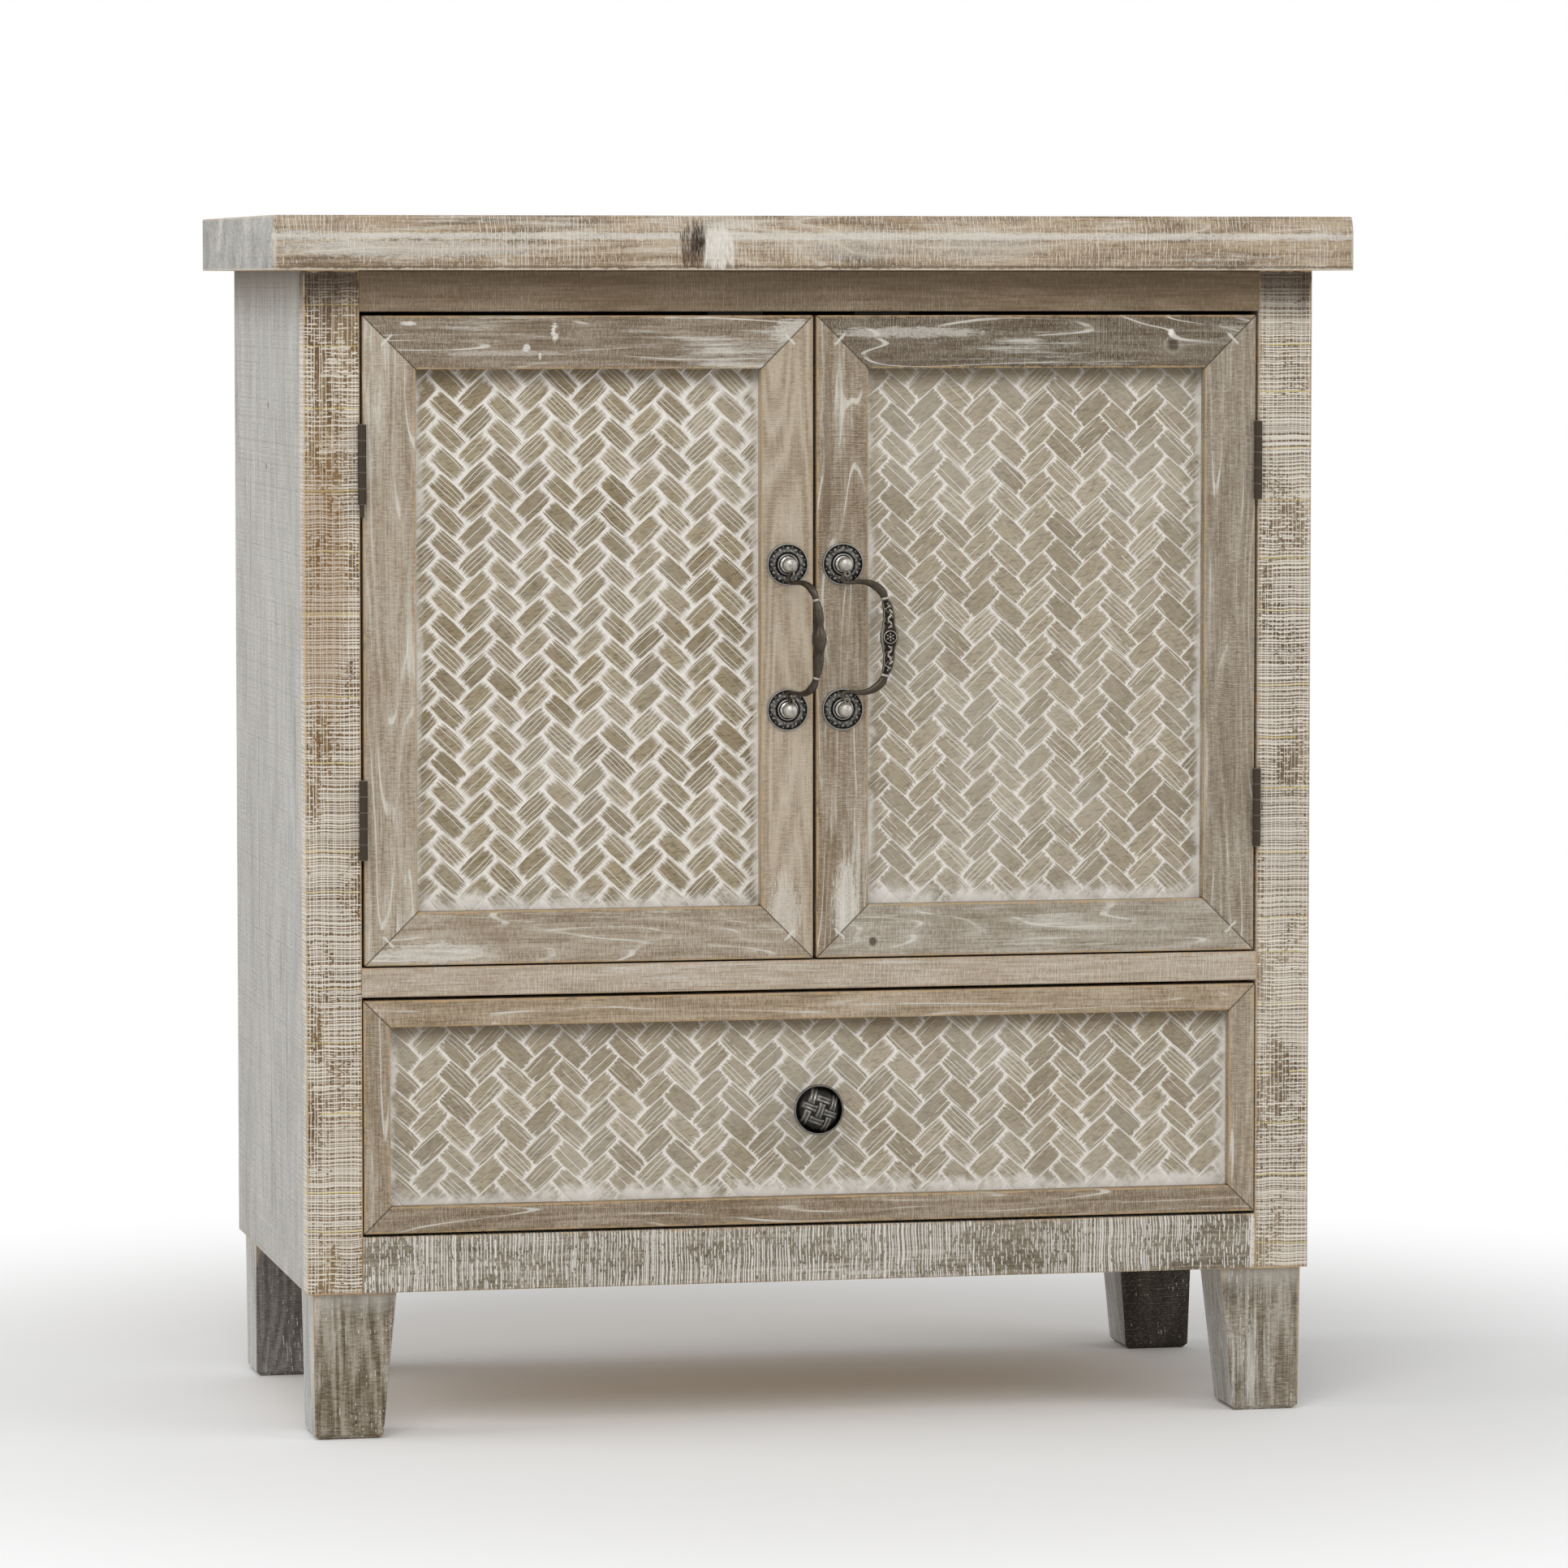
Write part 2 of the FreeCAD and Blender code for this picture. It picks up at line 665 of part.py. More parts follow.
def stud_nut(place):
    """A plain nut on the stud, against the door's back."""
    turn = 2 * math.pi / NUT_SIDES
    corners = [
        place + V(NUT_RADIUS * math.cos(i * turn), DOOR_THICKNESS, NUT_RADIUS * math.sin(i * turn))
        for i in range(NUT_SIDES)
    ]
    seat = place + BACKWARD * DOOR_THICKNESS
    hole = drill(STUD_RADIUS + SCREW_CLEARANCE, NUT_THICKNESS, seat, BACKWARD)
    return prism(corners, BACKWARD * NUT_THICKNESS).cut(hole)


def at_posts(make, post_x):
    """A handle piece made at both posts of a door."""
    return [make(V(post_x, 0, z)) for z in post_heights()]


def bail_stations():
    """Centre, half width and half thickness of each section, from the upper pin to the lower one."""
    half = POST_SPACING / 2
    pin_end = half - POST_HEAD_RADIUS
    upper = [(0.0, pin_end, BAIL_PIN_RADIUS, BAIL_PIN_RADIUS)]
    for reach, height, width, thickness in BAIL_SHARES:
        upper.append((
            reach * BAIL_REACH,
            height * half,
            width * GRIP_HALF_WIDTH,
            thickness * GRIP_HALF_THICKNESS,
        ))
    lower = [(reach, -height, width, thickness) for reach, height, width, thickness in reversed(upper)]
    return upper + [(BAIL_REACH, 0.0, GRIP_HALF_WIDTH, GRIP_HALF_THICKNESS)] + lower


def finer(stations):
    """The stations with even steps put in between them on a smooth line, with its direction at each."""
    places = [V(0, -reach, height) for reach, height, width, thickness in stations]
    line = Part.BSplineCurve()
    line.interpolate(Points=places, InitialTangent=-UP, FinalTangent=-UP)
    found = []
    for index in range((len(stations) - 1) * BAIL_STEPS + 1):
        before = min(index // BAIL_STEPS, len(stations) - 2)
        share = index / BAIL_STEPS - before
        low, high = line.parameter(places[before]), line.parameter(places[before + 1])
        at = low + share * (high - low)
        half_width, half_thickness = (
            stations[before][k] + share * (stations[before + 1][k] - stations[before][k]) for k in (2, 3)
        )
        found.append((line.value(at), line.tangent(at)[0], half_width, half_thickness))
    return found


def bail(post_x, turn):
    """The bail, skinned round sections square to its line, with a pin at each end, at its rest turn."""
    step = 2 * math.pi / BAIL_SIDES
    rings = []
    for place, along, half_width, half_thickness in finer(bail_stations()):
        wide = along.cross(ACROSS) * half_width
        thick = ACROSS * half_thickness
        rings.append([
            place + wide * math.cos(i * step) + thick * math.sin(i * step) for i in range(BAIL_SIDES)
        ])
    pin_start = POST_SPACING / 2 - POST_HEAD_RADIUS
    upper_pin = rod(BAIL_PIN_RADIUS, BAIL_PIN_LENGTH, UP * pin_start, UP, PIN_SIDES)
    lower_pin = rod(BAIL_PIN_RADIUS, BAIL_PIN_LENGTH, UP * -pin_start, -UP, PIN_SIDES)
    whole = flat_faced(rings, False).fuse([upper_pin, lower_pin])
    whole.rotate(V(0, 0, 0), UP, turn)
    return whole.translated(V(post_x, -PIVOT_OUT, HANDLE_Z))


# Magnetic catches under the front cleat, with a strike plate on each door

def catches():
    y = (DOOR_THICKNESS + STRIKE_THICKNESS + SEAT_CLEARANCE,)
    y += (y[0] + CATCH_DEPTH,)
    z = (BODY_TOP_Z - CLEAT_HEIGHT - CATCH_HEIGHT, BODY_TOP_Z - CLEAT_HEIGHT)
    return both_sides(block((CATCH_FROM_MIDDLE, CATCH_FROM_MIDDLE + CATCH_WIDTH), y, z))


def right_strike():
    middle = CATCH_FROM_MIDDLE + CATCH_WIDTH / 2
    top = BODY_TOP_Z - CLEAT_HEIGHT - CATCH_HEIGHT / 2 + STRIKE_HEIGHT / 2
    top = min(top, DOOR_Z[1] - ARRIS)
    x = (middle - STRIKE_WIDTH / 2, middle + STRIKE_WIDTH / 2)
    return block(x, (DOOR_THICKNESS, DOOR_THICKNESS + STRIKE_THICKNESS), (top - STRIKE_HEIGHT, top))


# Drawer: a mitred front with a carved panel, screwed to a box that slides on wooden runners

DRAWER_FRONT_X = (-DRAWER_X, DRAWER_X)
DRAWER_FRAME = (DRAWER_MEMBER_WIDTH, DRAWER_FRONT_THICKNESS, DRAWER_RECESS, DRAWER_REBATE)
KNOB_PLACE = V(0, DRAWER_RECESS, (DRAWER_Z[0] + DRAWER_Z[1]) / 2)
BOX_BASE_Z = DRAWER_SILL_Z + RUNNER_THICKNESS + SEAT_CLEARANCE
BOX_Z = (BOX_BASE_Z, BOX_BASE_Z + BOX_HEIGHT)
BOX_Y = (DRAWER_FRONT_THICKNESS, INSIDE_BACK_Y - BOX_BACK_ROOM)


def knob_screw_hole():
    """The hole that the knob's screw passes through, from the panel's face to the box's inside."""
    length = BOX_Y[0] + BOX_WALL - DRAWER_RECESS
    return drill(KNOB_SCREW_RADIUS + SCREW_CLEARANCE, length, KNOB_PLACE, BACKWARD)


def box_bottom(clearance):
    """The drawer's bottom in its grooves, or the groove cutter when it is given a clearance."""
    low = BOX_Z[0] + BOX_BOTTOM_RAISE
    edge = BOX_X - BOX_WALL + BOX_GROOVE + clearance
    y = (BOX_Y[0] + BOX_WALL - BOX_GROOVE - clearance, BOX_Y[1] - BOX_WALL + BOX_GROOVE + clearance)
    return block((-edge, edge), y, (low - clearance, low + BOX_BOTTOM_THICKNESS + clearance))


def drawer_parts():
    bottom, right, top, left = frame_members(DRAWER_FRONT_X, DRAWER_Z, *DRAWER_FRAME)
    panel = framed_panel(DRAWER_FRONT_X, DRAWER_Z, *DRAWER_FRAME).cut(knob_screw_hole())
    groove = box_bottom(PANEL_CLEARANCE)
    behind = BOX_Y[0] + BOX_WALL
    box_front = block((-BOX_X, BOX_X), (BOX_Y[0], behind), BOX_Z)
    box_left = block((-BOX_X, -BOX_X + BOX_WALL), (behind, BOX_Y[1]), BOX_Z)
    inner = BOX_X - BOX_WALL
    box_back = block((-inner, inner), (BOX_Y[1] - BOX_WALL, BOX_Y[1]), BOX_Z)
    return {
        "drawer_front_bottom_member": bottom,
        "drawer_front_right_member": right,
        "drawer_front_top_member": top,
        "drawer_front_left_member": left,
        "drawer_front_panel": panel,
        "drawer_box_front": box_front.cut(groove).cut(knob_screw_hole()),
        "drawer_box_left_side": box_left.cut(groove),
        "drawer_box_right_side": mirrored(box_left).cut(groove),
        "drawer_box_back": box_back.cut(groove),
        "drawer_box_bottom": box_bottom(0),
        "knob": knob(),
        "knob_screw": knob_screw(),
    }


def knob():
    """A flanged base, a waisted neck and a broad domed head inside a raised rim, with a blind hole behind."""
    rim_inner = KNOB_RADIUS - KNOB_RIM_WIDTH
    hole = KNOB_SCREW_RADIUS + SCREW_CLEARANCE
    base = (KNOB_BASE_RADIUS, KNOB_BASE_HEIGHT)
    waist = (KNOB_NECK_RADIUS, (KNOB_BASE_HEIGHT + KNOB_UNDERSIDE_OUT) / 2)
    under_head = ((KNOB_BASE_RADIUS + KNOB_NECK_RADIUS) / 2, KNOB_UNDERSIDE_OUT)
    head_side = (KNOB_RADIUS - KNOB_RIM_WIDTH / 2, (KNOB_UNDERSIDE_OUT + KNOB_RIM_OUT) / 2)
    rim = (KNOB_RADIUS, KNOB_RIM_OUT)
    outline = [(hole, KNOB_SCREW_IN_KNOB), (hole, 0), (KNOB_BASE_RADIUS, 0), base]
    outline += bend(base, waist, under_head)
    outline += bend(under_head, head_side, rim)
    outline.append((rim_inner, KNOB_RIM_OUT))
    outline += dome(rim_inner, KNOB_RIM_OUT - KNOB_RIM_STEP, KNOB_PROJECTION)
    return turned(outline, KNOB_PLACE, KNOB_SIDES)


def knob_screw():
    """The screw from inside the box, with a flat head."""
    seat = V(KNOB_PLACE.x, BOX_Y[0] + BOX_WALL, KNOB_PLACE.z)
    length = seat.y - DRAWER_RECESS + KNOB_SCREW_IN_KNOB - SCREW_CLEARANCE
    shank = rod(KNOB_SCREW_RADIUS, length, seat, -BACKWARD)
    head = rod(KNOB_SCREW_HEAD_RADIUS, KNOB_SCREW_HEAD, seat, BACKWARD)
    return shank.fuse(head)


def left_runner():
    """An L-shaped runner on the bottom panel: a ledge under the box and a guide beside it."""
    guide = -(BOX_X + GUIDE_CLEARANCE)
    ledge = DRAWER_SILL_Z + RUNNER_THICKNESS
    points = [
        V(-INSIDE_X, FRAME_THICKNESS, DRAWER_SILL_Z),
        V(-INSIDE_X + RUNNER_WIDTH, FRAME_THICKNESS, DRAWER_SILL_Z),
        V(-INSIDE_X + RUNNER_WIDTH, FRAME_THICKNESS, ledge),
        V(guide, FRAME_THICKNESS, ledge),
        V(guide, FRAME_THICKNESS, ledge + GUIDE_HEIGHT),
        V(-INSIDE_X, FRAME_THICKNESS, ledge + GUIDE_HEIGHT),
    ]
    return prism(points, BACKWARD * (INSIDE_BACK_Y - FRAME_THICKNESS))


# The whole cabinet, node by node

def all_nodes():
    nodes = {
        "top_board": top_board(),
        "top_cleats": top_cleats(),
        "left_stile": left_stile(),
        "right_stile": mirrored(left_stile()),
        "top_rail": top_rail(),
        "mid_rail": mid_rail(),
        "bottom_rail": bottom_rail(),
        "left_side_panel": left_side_panel(),
        "right_side_panel": mirrored(left_side_panel()),
        "back_panel": back_panel(),
        "bottom_panel": inside_board(DRAWER_SILL_Z),
        "bay_floor": inside_board(DOOR_SILL_Z),
        "shelf": shelf(),
        "shelf_pegs": shelf_pegs(),
        "front_left_leg": left_leg(True),
        "front_right_leg": mirrored(left_leg(True)),
        "back_left_leg": left_leg(False),
        "back_right_leg": mirrored(left_leg(False)),
        "corner_blocks": all_corners(left_corner_block),
        "leg_bolts": all_corners(left_leg_bolt),
        "drawer_runners": both_sides(left_runner()),
        "door_catches": catches(),
        "left_hinge_frame_leaves": left_leaves(True),
        "right_hinge_frame_leaves": right_leaves(True),
        "hinge_pins": hinge_pins(),
        "left_hinge_door_leaves": left_leaves(False),
        "right_hinge_door_leaves": right_leaves(False),
        "left_door_strike": mirrored(right_strike()),
        "right_door_strike": right_strike(),
        "left_handle_rosettes": at_posts(rosette, -POST_X),
        "right_handle_rosettes": at_posts(rosette, POST_X),
        "left_handle_posts": at_posts(post, -POST_X),
        "right_handle_posts": at_posts(post, POST_X),
        "left_handle_nuts": at_posts(stud_nut, -POST_X),
        "right_handle_nuts": at_posts(stud_nut, POST_X),
        "left_bail": bail(-POST_X, LEFT_BAIL_TURN),
        "right_bail": bail(POST_X, RIGHT_BAIL_TURN),
    }
    nodes.update(left_door_parts())
    nodes.update(right_door_parts())
    nodes.update(drawer_parts())
    return nodes


os.makedirs("parts", exist_ok=True)
for name, made in all_nodes().items():
    whole = Part.makeCompound(made) if isinstance(made, list) else made
    whole.translated(V(0, -MIDDLE_Y, 0)).exportStep("parts/" + name + ".step")
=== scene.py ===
"""Dresses the carved, whitewashed cabinet: its woods, its carving, its handles and its knob."""

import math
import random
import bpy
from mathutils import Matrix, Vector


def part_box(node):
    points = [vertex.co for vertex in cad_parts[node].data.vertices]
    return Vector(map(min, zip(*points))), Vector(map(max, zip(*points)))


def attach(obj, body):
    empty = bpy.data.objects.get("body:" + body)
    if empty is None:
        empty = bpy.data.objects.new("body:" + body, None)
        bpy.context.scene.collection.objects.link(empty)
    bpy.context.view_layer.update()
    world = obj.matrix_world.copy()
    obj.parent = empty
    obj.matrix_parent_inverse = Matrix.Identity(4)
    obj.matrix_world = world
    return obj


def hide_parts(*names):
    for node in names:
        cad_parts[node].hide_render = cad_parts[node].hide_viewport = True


bl_info = {
    "name": "Whitewashed Carved Cabinet",
    "version": (1, 0, 0),
    "blender": (4, 5, 0),
    "location": "View3D > Sidebar > Cabinet",
    "description": "Dresses a small cabinet with carved doors in its woods, metals and carving",
    "category": "Add Mesh",
}

from contextlib import contextmanager

import bmesh
import bpy
from bpy.props import FloatProperty, FloatVectorProperty, IntProperty, PointerProperty
from mathutils import Matrix, Vector

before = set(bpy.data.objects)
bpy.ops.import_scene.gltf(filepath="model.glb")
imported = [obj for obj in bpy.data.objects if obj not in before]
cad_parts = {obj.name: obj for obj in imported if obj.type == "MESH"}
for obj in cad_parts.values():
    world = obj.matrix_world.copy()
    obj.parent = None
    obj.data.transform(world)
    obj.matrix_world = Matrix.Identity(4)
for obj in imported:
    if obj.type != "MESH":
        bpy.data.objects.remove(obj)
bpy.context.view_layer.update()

MM = 0.001
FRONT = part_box("left_stile")[0].y
TOP_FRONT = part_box("top_board")[0].y


# ---------------------------------------------------------------- modelling by hand

def set_aside():
    """Leaves edit mode and lets go of everything."""
    if bpy.context.object and bpy.context.object.mode != "OBJECT":
        bpy.ops.object.mode_set(mode="OBJECT")
    bpy.ops.object.select_all(action="DESELECT")


def take_up(piece):
    """Selects one piece and makes it the active one."""
    set_aside()
    piece.select_set(True)
    bpy.context.view_layer.objects.active = piece


@contextmanager
def at_the_bench(piece):
    """Edit mode on one piece, with all of it selected at the start."""
    take_up(piece)
    bpy.ops.object.mode_set(mode="EDIT")
    bpy.ops.mesh.select_all(action="SELECT")
    yield
    bpy.ops.object.mode_set(mode="OBJECT")


def named(piece, name):
    """Gives a piece and its mesh one name."""
    piece.name = name
    piece.data.name = name
    return piece


def settle(name):
    """Names the piece just added and puts its place into its mesh."""
    bpy.ops.object.transform_apply(location=True, rotation=True, scale=True)
    return named(bpy.context.object, name)


def facing_out(piece):
    """Merges doubles and turns every face outwards."""
    with at_the_bench(piece):
        bpy.ops.mesh.remove_doubles(threshold=0.00001)
        bpy.ops.mesh.normals_make_consistent(inside=False)
    return piece


def smoothed(piece, degrees):
    """Shades a piece smooth, with its sharp edges kept."""
    take_up(piece)
    bpy.ops.object.shade_smooth_by_angle(angle=math.radians(degrees))
    return piece


def finish_with(piece, kind, **settings):
    """Adds one modifier and applies it."""
    take_up(piece)
    modifier = piece.modifiers.new(kind.title(), kind)
    for name, value in settings.items():
        setattr(modifier, name, value)
    bpy.ops.object.modifier_apply(modifier=modifier.name)
    return piece


def gathered(pieces, name):
    """Joins pieces into the first of them."""
    take_up(pieces[0])
    for piece in pieces[1:]:
        piece.select_set(True)
    bpy.ops.object.join()
    return named(pieces[0], name)


def again(piece, turn):
    """Makes one more of a piece, with its own mesh, moved by a matrix."""
    twin = piece.copy()
    twin.data = piece.data.copy()
    twin.data.transform(turn)
    bpy.context.collection.objects.link(twin)
    return twin


def turned(name, centre, rings, sides):
    """Turns a round piece up from a wall: each ring is how far out it stands, and its radius."""
    out, radius = rings[0]
    set_aside()
    bpy.ops.mesh.primitive_circle_add(
        vertices=sides, radius=radius * MM, fill_type="NGON",
        location=(centre.x, centre.y - out * MM, centre.z), rotation=(math.radians(90), 0, 0))
    piece = settle(name)
    with at_the_bench(piece):
        for next_out, next_radius in rings[1:]:
            step = (out - next_out) * MM
            bpy.ops.mesh.extrude_region_move(TRANSFORM_OT_translate={"value": (0, step, 0)})
            share = next_radius / radius
            bpy.ops.transform.resize(
                value=(share, 1, share), center_override=(centre.x, centre.y - next_out * MM, centre.z))
            out, radius = next_out, next_radius
    return facing_out(piece)


def thickened(piece, depth, draft=None, middle=None):
    """Draws an open sheet's rim straight back, wider by a draft if one is given, and closes the back."""
    with at_the_bench(piece):
        bpy.ops.mesh.select_mode(type="EDGE")
        bpy.ops.mesh.select_all(action="DESELECT")
        bpy.ops.mesh.select_non_manifold()
        bpy.ops.mesh.extrude_region_move(TRANSFORM_OT_translate={"value": (0, depth, 0)})
        if draft:
            bpy.ops.transform.resize(value=draft, center_override=middle)
        bpy.ops.mesh.edge_face_add()
    return facing_out(piece)


def turned_by(degrees, axis):
    """A turn about an axis through the origin."""
    return Matrix.Rotation(math.radians(degrees), 4, axis)


def turned_round(centre, degrees, axis="Y"):
    """A turn about a line through a point, which runs straight out of the front if no axis is given."""
    return Matrix.Translation(centre) @ turned_by(degrees, axis) @ Matrix.Translation(-centre)


def box_piece(name, low, high):
    """A plain block between two corners, as a start."""
    set_aside()
    bpy.ops.mesh.primitive_cube_add(size=1, location=(low + high) / 2, scale=high - low)
    return settle(name)


def box_middle(node):
    """The middle of a node's box."""
    return Vector([(low + high) / 2 for low, high in zip(*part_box(node))])


def copied_node(node, name):
    """A merged copy of a metal piece of the frame."""
    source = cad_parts[node]
    twin = source.copy()
    twin.data = source.data.copy()
    twin.parent = None
    twin.matrix_world = source.matrix_world.copy()
    bpy.context.collection.objects.link(twin)
    for key in list(twin.keys()):
        del twin[key]
    return facing_out(named(twin, name))


# ---------------------------------------------------------------- shader steps

def tint(code):
    """A colour as it is written on screen, turned into light."""
    parts = [int(code[at:at + 2], 16) / 255 for at in (0, 2, 4)]
    return solid(part / 12.92 if part <= 0.04045 else ((part + 0.055) / 1.055) ** 2.4 for part in parts)


def solid(colour):
    """A colour of three parts, with full cover."""
    return tuple(colour) + (1.0,)


def feed(tree, source, socket):
    """Links an output to a socket, or sets the socket to a value."""
    if isinstance(source, bpy.types.NodeSocket):
        tree.links.new(source, socket)
    else:
        socket.default_value = source


def calc(tree, kind, *values):
    """One step of arithmetic."""
    step = tree.nodes.new("ShaderNodeMath")
    step.operation = kind
    for place, value in enumerate(values):
        feed(tree, value, step.inputs[place])
    return step.outputs[0]


def times(tree, *values):
    """Two or more values multiplied."""
    whole = values[0]
    for value in values[1:]:
        whole = calc(tree, "MULTIPLY", whole, value)
    return whole


def less(tree, value, other):
    """One value without another."""
    return calc(tree, "SUBTRACT", value, other)


def scaled(tree, value, share, start):
    """A share of a value, added to where it starts."""
    return calc(tree, "MULTIPLY_ADD", value, share, start)


def swayed(tree, value, chance, reach):
    """Moves a value to and fro by noise, which lies round one half."""
    return scaled(tree, less(tree, chance, 0.5), reach, value)


def vector_calc(tree, kind, *values):
    """One step of arithmetic on a place."""
    step = tree.nodes.new("ShaderNodeVectorMath")
    step.operation = kind
    for place, value in enumerate(values):
        feed(tree, value, step.inputs[place])
    return step.outputs["Value" if kind == "LENGTH" else "Vector"]


def split(tree, place):
    """The three parts of a place."""
    step = tree.nodes.new("ShaderNodeSeparateXYZ")
    feed(tree, place, step.inputs[0])
    return step.outputs


def built(tree, x, y, z):
    """A place from its three parts."""
    step = tree.nodes.new("ShaderNodeCombineXYZ")
    for value, socket in zip((x, y, z), step.inputs):
        feed(tree, value, socket)
    return step.outputs[0]


def fade(tree, value, low, high):
    """Rises softly from 0 to 1 between two values, or falls where the first is the larger."""
    step = tree.nodes.new("ShaderNodeMapRange")
    step.interpolation_type = "SMOOTHSTEP"
    feed(tree, value, step.inputs["Value"])
    feed(tree, low, step.inputs["From Min"])
    feed(tree, high, step.inputs["From Max"])
    return step.outputs[0]


def mixed(tree, share, first, second):
    """Mixes two colours."""
    step = tree.nodes.new("ShaderNodeMix")
    step.data_type = "RGBA"
    feed(tree, share, step.inputs[0])
    feed(tree, first, step.inputs[6])
    feed(tree, second, step.inputs[7])
    return step.outputs[2]


def laid(tree, base, mask, share, shade):
    """Lays a colour over the base where a mask says, at a share of its strength."""
    return mixed(tree, times(tree, mask, share), base, shade)


def noise(tree, place, stretch, detail=2.0, rough=0.5):
    """Soft noise, with its own stretch along the three axes, or one stretch for all."""
    if not isinstance(stretch, tuple):
        stretch = (stretch, stretch, stretch)
    step = tree.nodes.new("ShaderNodeTexNoise")
    feed(tree, vector_calc(tree, "MULTIPLY", place, stretch), step.inputs["Vector"])
    step.inputs["Scale"].default_value = 1.0
    step.inputs["Detail"].default_value = detail
    step.inputs["Roughness"].default_value = rough
    return step.outputs[0]


def dice(tree, value):
    """One random number for each whole number."""
    step = tree.nodes.new("ShaderNodeTexWhiteNoise")
    step.noise_dimensions = "1D"
    feed(tree, value, step.inputs["W"])
    return step.outputs["Value"]


def ramp(tree, value, places, shades):
    """Turns a value into a colour, by the shades at some places."""
    step = tree.nodes.new("ShaderNodeValToRGB")
    feed(tree, value, step.inputs[0])
    points = step.color_ramp.elements
    while len(points) < len(places):
        points.new(0.5)
    for point, place, shade in zip(points, places, shades):
        point.position = place
        point.color = shade
    return step.outputs[0]


def painted(tree, name):
    """A number that the mesh carries on its points."""
    step = tree.nodes.new("ShaderNodeAttribute")
    step.attribute_name = name
    return step.outputs["Fac"]


def in_view(tree):
    """1 where the camera looks, also by way of gloss or glass."""
    rays = tree.nodes.new("ShaderNodeLightPath").outputs
    through = calc(tree, "MAXIMUM", rays["Is Glossy Ray"], rays["Is Transmission Ray"])
    return calc(tree, "MAXIMUM", rays["Is Camera Ray"], through)


def shown(tree, share, first, second, output):
    """Shows one shader, or by a share the other."""
    both = tree.nodes.new("ShaderNodeMixShader")
    for source, socket in zip((share, first, second), both.inputs):
        feed(tree, source, socket)
    feed(tree, both.outputs[0], output)


def effect(name, takes, gives):
    """Starts a node group with named sockets, and gives its tree, its inputs and its outputs."""
    tree = bpy.data.node_groups.new(name, "ShaderNodeTree")
    tree.interface.new_socket(name="Place", in_out="INPUT", socket_type="NodeSocketVector")
    for label, value in takes.items():
        kind = "NodeSocketVector" if value is None else "NodeSocketFloat"
        socket = tree.interface.new_socket(name=label, in_out="INPUT", socket_type=kind)
        if value is not None:
            socket.default_value = value
    for label in gives:
        tree.interface.new_socket(name=label, in_out="OUTPUT", socket_type="NodeSocketFloat")
    return tree, tree.nodes.new("NodeGroupInput").outputs, tree.nodes.new("NodeGroupOutput").inputs


def with_effect(tree, name, **values):
    """Places a node group in a material, with its own values."""
    step = tree.nodes.new("ShaderNodeGroup")
    step.node_tree = bpy.data.node_groups[name]
    for label, value in values.items():
        feed(tree, value, step.inputs[label.title()])
    return step.outputs


def fresh_finish(name, roughness, metallic=0.0, specular=0.5):
    """Starts a material, and gives its tree, its shader and its object coordinates."""
    finish = bpy.data.materials.new(name)
    finish.use_nodes = True
    tree = finish.node_tree
    shader = tree.nodes["Principled BSDF"]
    shader.inputs["Roughness"].default_value = roughness
    shader.inputs["Metallic"].default_value = metallic
    shader.inputs["Specular IOR Level"].default_value = specular
    return finish, tree, shader, tree.nodes.new("ShaderNodeTexCoord").outputs["Object"]


def roughen(tree, shader, height, distance, strength):
    """Gives a surface its fine relief."""
    bump = tree.nodes.new("ShaderNodeBump")
    bump.inputs["Strength"].default_value = strength
    bump.inputs["Distance"].default_value = distance
    feed(tree, height, bump.inputs["Height"])
    tree.links.new(bump.outputs[0], shader.inputs["Normal"])


# ---------------------------------------------------------------- shared effects

HALF_DIAGONAL = 0.707  # turns a sum or difference of two sides into a distance along or off their diagonal
STAPLE_REACH = 0.0215  # from a mitre's outer corner to its staple
STAPLE_HALF_LENGTH = 0.0056


def make_wood_grain():
    """Fibres, rings and pores along the first axis, in millimetres."""
    tree, takes, gives = effect(
        "Wood Grain", {"Rings": 0.3, "Blotches": 0.7}, ("Tone", "Pores", "Height", "Lines"))
    place = takes["Place"]
    level = noise(tree, place, (0.0032, 0.034, 0.034), 1.5)
    rings = calc(tree, "SINE", times(tree, level, 74.0))
    fibre = noise(tree, place, (0.035, 0.85, 0.85), 3.0, 0.62)
    cross = noise(tree, place, (0.95, 0.22, 0.22), 2.0, 0.6)
    blotch = noise(tree, place, (0.009, 0.03, 0.03), 3.0, 0.6)
    tone = swayed(tree, swayed(tree, 0.5, fibre, 1.15), cross, 0.95)
    tone = scaled(tree, times(tree, rings, takes["Rings"]), 0.5, tone)
    feed(tree, swayed(tree, tone, blotch, takes["Blotches"]), gives["Tone"])
    pores = fade(tree, noise(tree, place, (0.07, 1.9, 1.9), 1.0), 0.60, 0.72)
    feed(tree, pores, gives["Pores"])
    feed(tree, less(tree, fibre, times(tree, pores, 0.5)), gives["Height"])
    held = fade(tree, noise(tree, place, (0.012, 0.12, 0.12), 3.0, 0.6), 0.44, 0.6)
    feed(tree, times(tree, fade(tree, rings, 0.92, 0.99), held), gives["Lines"])


